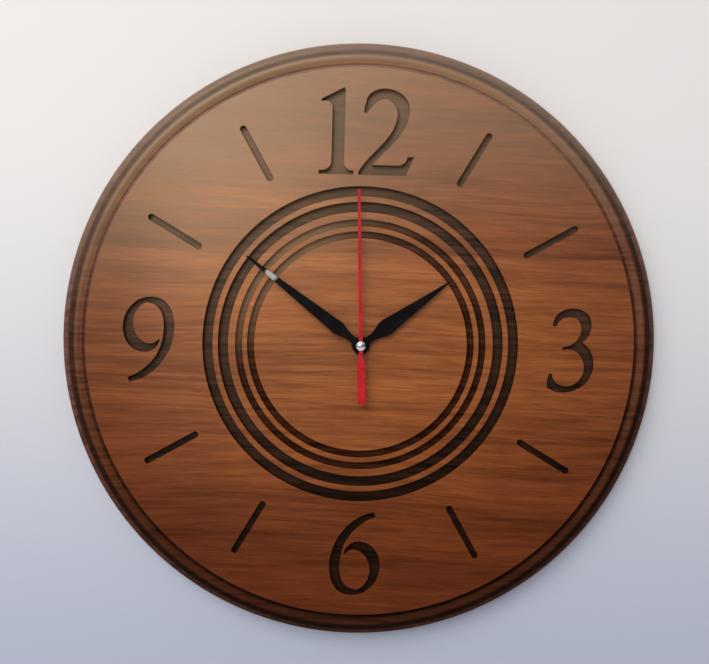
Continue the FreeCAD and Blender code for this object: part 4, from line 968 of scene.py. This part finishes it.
class WALLCLOCK_OT_case(Dresser, bpy.types.Operator):
    """Finish the movement's case, cover, gasket and setting knob"""

    bl_idname = "wall_clock.case"
    bl_label = "Movement case"
    eased = (
        ("front_case_moulded", "movement_front_case", "clock_body", "black_plastic", "case_black",
         "case_edge"),
        ("rear_cover_moulded", "movement_rear_cover", "clock_body", "black_plastic", "case_black",
         "case_edge"),
        ("setting_knob_moulded", "setting_knob", "knob_group", "white_plastic", "knob_acetal", "knob_edge"),
    )
    dressed = {"gasket_rubber": ["movement_gasket"]}


class WALLCLOCK_OT_train(Dresser, bpy.types.Operator):
    """Finish the wheels and the plate that carries them"""

    bl_idname = "wall_clock.train"
    bl_label = "Train"
    dressed = {
        "gear_acetal": ["hour_wheel", "centre_wheel", "minute_work_wheel", "third_wheel", "seconds_wheel",
                        "fifth_wheel", "middle_plate"],
        "magnet_grey": ["rotor"],
    }


class WALLCLOCK_OT_motor(Dresser, bpy.types.Operator):
    """Finish the stepping motor's fixed parts and the circuit board"""

    bl_idname = "wall_clock.motor"
    bl_label = "Motor and circuit"
    dressed = {
        "soft_iron": ["stator", "coil_core"],
        "bobbin_green": ["coil_bobbin"],
        "enamelled_copper": ["coil_winding"],
        "circuit_laminate": ["circuit_board"],
        "crystal_steel": ["crystal_can"],
        "chip_resin": ["chip_cover"],
    }


class WALLCLOCK_OT_battery(Dresser, bpy.types.Operator):
    """Finish the battery and its contacts"""

    bl_idname = "wall_clock.battery"
    bl_label = "Battery"
    dressed = {
        "battery_sleeve": ["battery_cell"],
        "contact_nickel": ["contact_positive", "contact_negative"],
    }


class WALLCLOCK_OT_hanger(Dresser, bpy.types.Operator):
    """Ease and finish the keyhole plate and its screws"""

    bl_idname = "wall_clock.hanger"
    bl_label = "Keyhole hanger"
    eased = (
        ("hanger_plate_pressed", "hanger_plate", "clock_body", "zinc_steel", "zinc", "plate_edge"),
        ("hanger_screws_turned", "hanger_screws", "clock_body", "zinc_steel", "screw_steel", "screw_edge"),
    )


# Stage

def sheet_at(name, material, matrix, half, opening=0.0):
    """A flat sheet, round where it has a round opening."""
    shape = bmesh.new()
    if opening:
        for radius in (opening, half):
            bmesh.ops.create_circle(shape, segments=128, radius=radius, matrix=matrix)
        bmesh.ops.bridge_loops(shape, edges=shape.edges[:])
        shape.normal_update()
        if shape.faces[:][0].normal.dot(matrix.to_3x3() @ Vector((0, 0, 1))) < 0:
            bmesh.ops.reverse_faces(shape, faces=shape.faces[:])
    else:
        bmesh.ops.create_grid(shape, x_segments=1, y_segments=1, size=half, matrix=matrix)
    piece = placed(name, shape)
    piece.data.materials.append(material)


def lamp(name, place, size, watts, colour):
    """A square lamp that faces the hub."""
    data = bpy.data.lights.new(name, "AREA")
    data.shape = "SQUARE"
    data.size, data.energy, data.color = size, watts, colour
    piece = bpy.data.objects.new(name, data)
    bpy.context.scene.collection.objects.link(piece)
    piece.location = place
    piece.rotation_euler = (HUB - Vector(place)).to_track_quat("-Z", "Y").to_euler()


def brighten_from_above(world):
    """Surroundings that are bright above and dim below, as a room with a high window is."""
    world.use_nodes = True
    tree = world.node_tree
    background = tree.nodes["Background"]
    background.inputs["Color"].default_value = ROOM_COLOUR
    along = tree.nodes.new("ShaderNodeVectorMath")
    along.operation = "DOT_PRODUCT"
    tree.links.new(tree.nodes.new("ShaderNodeTexCoord").outputs["Generated"], along.inputs[0])
    along.inputs[1].default_value = ROOM_BRIGHT_WAY
    share = tree.nodes.new("ShaderNodeMapRange")
    share.interpolation_type = "SMOOTHSTEP"
    tree.links.new(along.outputs["Value"], share.inputs["Value"])
    for socket, value in ROOM_STRENGTH.items():
        share.inputs[socket].default_value = value
    tree.links.new(share.outputs["Result"], background.inputs["Strength"])


def photo_camera():
    """The photograph's camera, from how the face lies in its view."""
    stage = sizes("wall_clock_stage")
    to_view = Matrix(((1, 0, 0), (0, 0, 1), (0, -1, 0)))
    roll, pitch, yaw = stage.hanging_roll, stage.camera_pitch, stage.camera_yaw
    leaning = Matrix.Rotation(yaw, 3, "Y") @ Matrix.Rotation(pitch, 3, "X")
    turn = leaning @ Matrix.Rotation(-roll, 3, "Z") @ to_view
    shift = Vector((stage.camera_right, -stage.camera_down, -stage.camera_distance))
    back = turn.transposed()
    place = Vector((0, FACE_Y, HUB.z)) - back @ shift
    data = bpy.data.cameras.new("photo_camera")
    data.sensor_fit = "HORIZONTAL"
    data.lens = data.sensor_width * stage.focal_pixels / stage.photo_width
    data.clip_start = CAMERA_NEAR
    camera = bpy.data.objects.new("photo_camera", data)
    bpy.context.scene.collection.objects.link(camera)
    camera.matrix_world = Matrix.Translation(place) @ back.to_4x4()
    bpy.context.scene.camera = camera


class WALLCLOCK_OT_stage(bpy.types.Operator):
    """Set up the wall, the floor, the lamps, the surroundings and the camera"""

    bl_idname = "wall_clock.stage"
    bl_label = "Stage"

    def execute(self, context):
        stage = sizes("wall_clock_stage")
        upright = Matrix.Translation((0, WALL_Y + WALL_GAP, HUB.z)) @ Matrix.Rotation(math.pi / 2, 4, "X")
        opening = BOARD_RADIUS - WALL_OPENING_LAP
        sheet_at("wall", finish("wall_paint"), upright, stage.wall_half, opening)
        level = Matrix.Translation((0, 0, HUB.z - stage.floor_drop))
        sheet_at("floor", finish("floor_paint"), level, 2 * stage.wall_half)
        for name, settings in LAMPS.items():
            lamp(name, *settings)
        world = bpy.data.worlds.new("room_light")
        brighten_from_above(world)
        context.scene.world = world
        context.scene.view_settings.view_transform = "Standard"
        photo_camera()
        return {"FINISHED"}


class WALLCLOCK_PT_panel(bpy.types.Panel):
    """Lists the clock's pieces and its sizes"""

    bl_idname = "WALLCLOCK_PT_panel"
    bl_label = "Wall Clock"
    bl_space_type = "VIEW_3D"
    bl_region_type = "UI"
    bl_category = "Wall Clock"

    def draw(self, context):
        column = self.layout.column()
        for operator in OPERATORS:
            column.operator(operator.bl_idname)
        for name in GROUPS:
            box = self.layout.box()
            group = getattr(context.scene, name)
            for prop in group.bl_rna.properties:
                if not prop.is_readonly and prop.identifier != "name":
                    box.prop(group, prop.identifier)


GROUPS = {
    "wall_clock_board": WallClockBoardSizes,
    "wall_clock_wood": WallClockWoodColours,
    "wall_clock_metal": WallClockMetalColours,
    "wall_clock_edges": WallClockEdgeSizes,
    "wall_clock_stage": WallClockStageSizes,
}
OPERATORS = (
    WALLCLOCK_OT_board,
    WALLCLOCK_OT_hands,
    WALLCLOCK_OT_stem,
    WALLCLOCK_OT_case,
    WALLCLOCK_OT_train,
    WALLCLOCK_OT_motor,
    WALLCLOCK_OT_battery,
    WALLCLOCK_OT_hanger,
    WALLCLOCK_OT_stage,
)


def register():
    """Adds the sizes, the operators and the panel."""
    for name, group in GROUPS.items():
        bpy.utils.register_class(group)
        setattr(bpy.types.Scene, name, PointerProperty(type=group))
    for kind in OPERATORS + (WALLCLOCK_PT_panel,):
        bpy.utils.register_class(kind)


def unregister():
    """Takes them away again."""
    for kind in reversed(OPERATORS + (WALLCLOCK_PT_panel,)):
        bpy.utils.unregister_class(kind)
    for name, group in GROUPS.items():
        delattr(bpy.types.Scene, name)
        bpy.utils.unregister_class(group)


def main():
    """Builds the clock and its stage."""
    register()
    bpy.ops.wall_clock.board()
    bpy.ops.wall_clock.hands()
    bpy.ops.wall_clock.stem()
    bpy.ops.wall_clock.case()
    bpy.ops.wall_clock.train()
    bpy.ops.wall_clock.motor()
    bpy.ops.wall_clock.battery()
    bpy.ops.wall_clock.hanger()
    bpy.ops.wall_clock.stage()


if __name__ == "__main__":
    main()
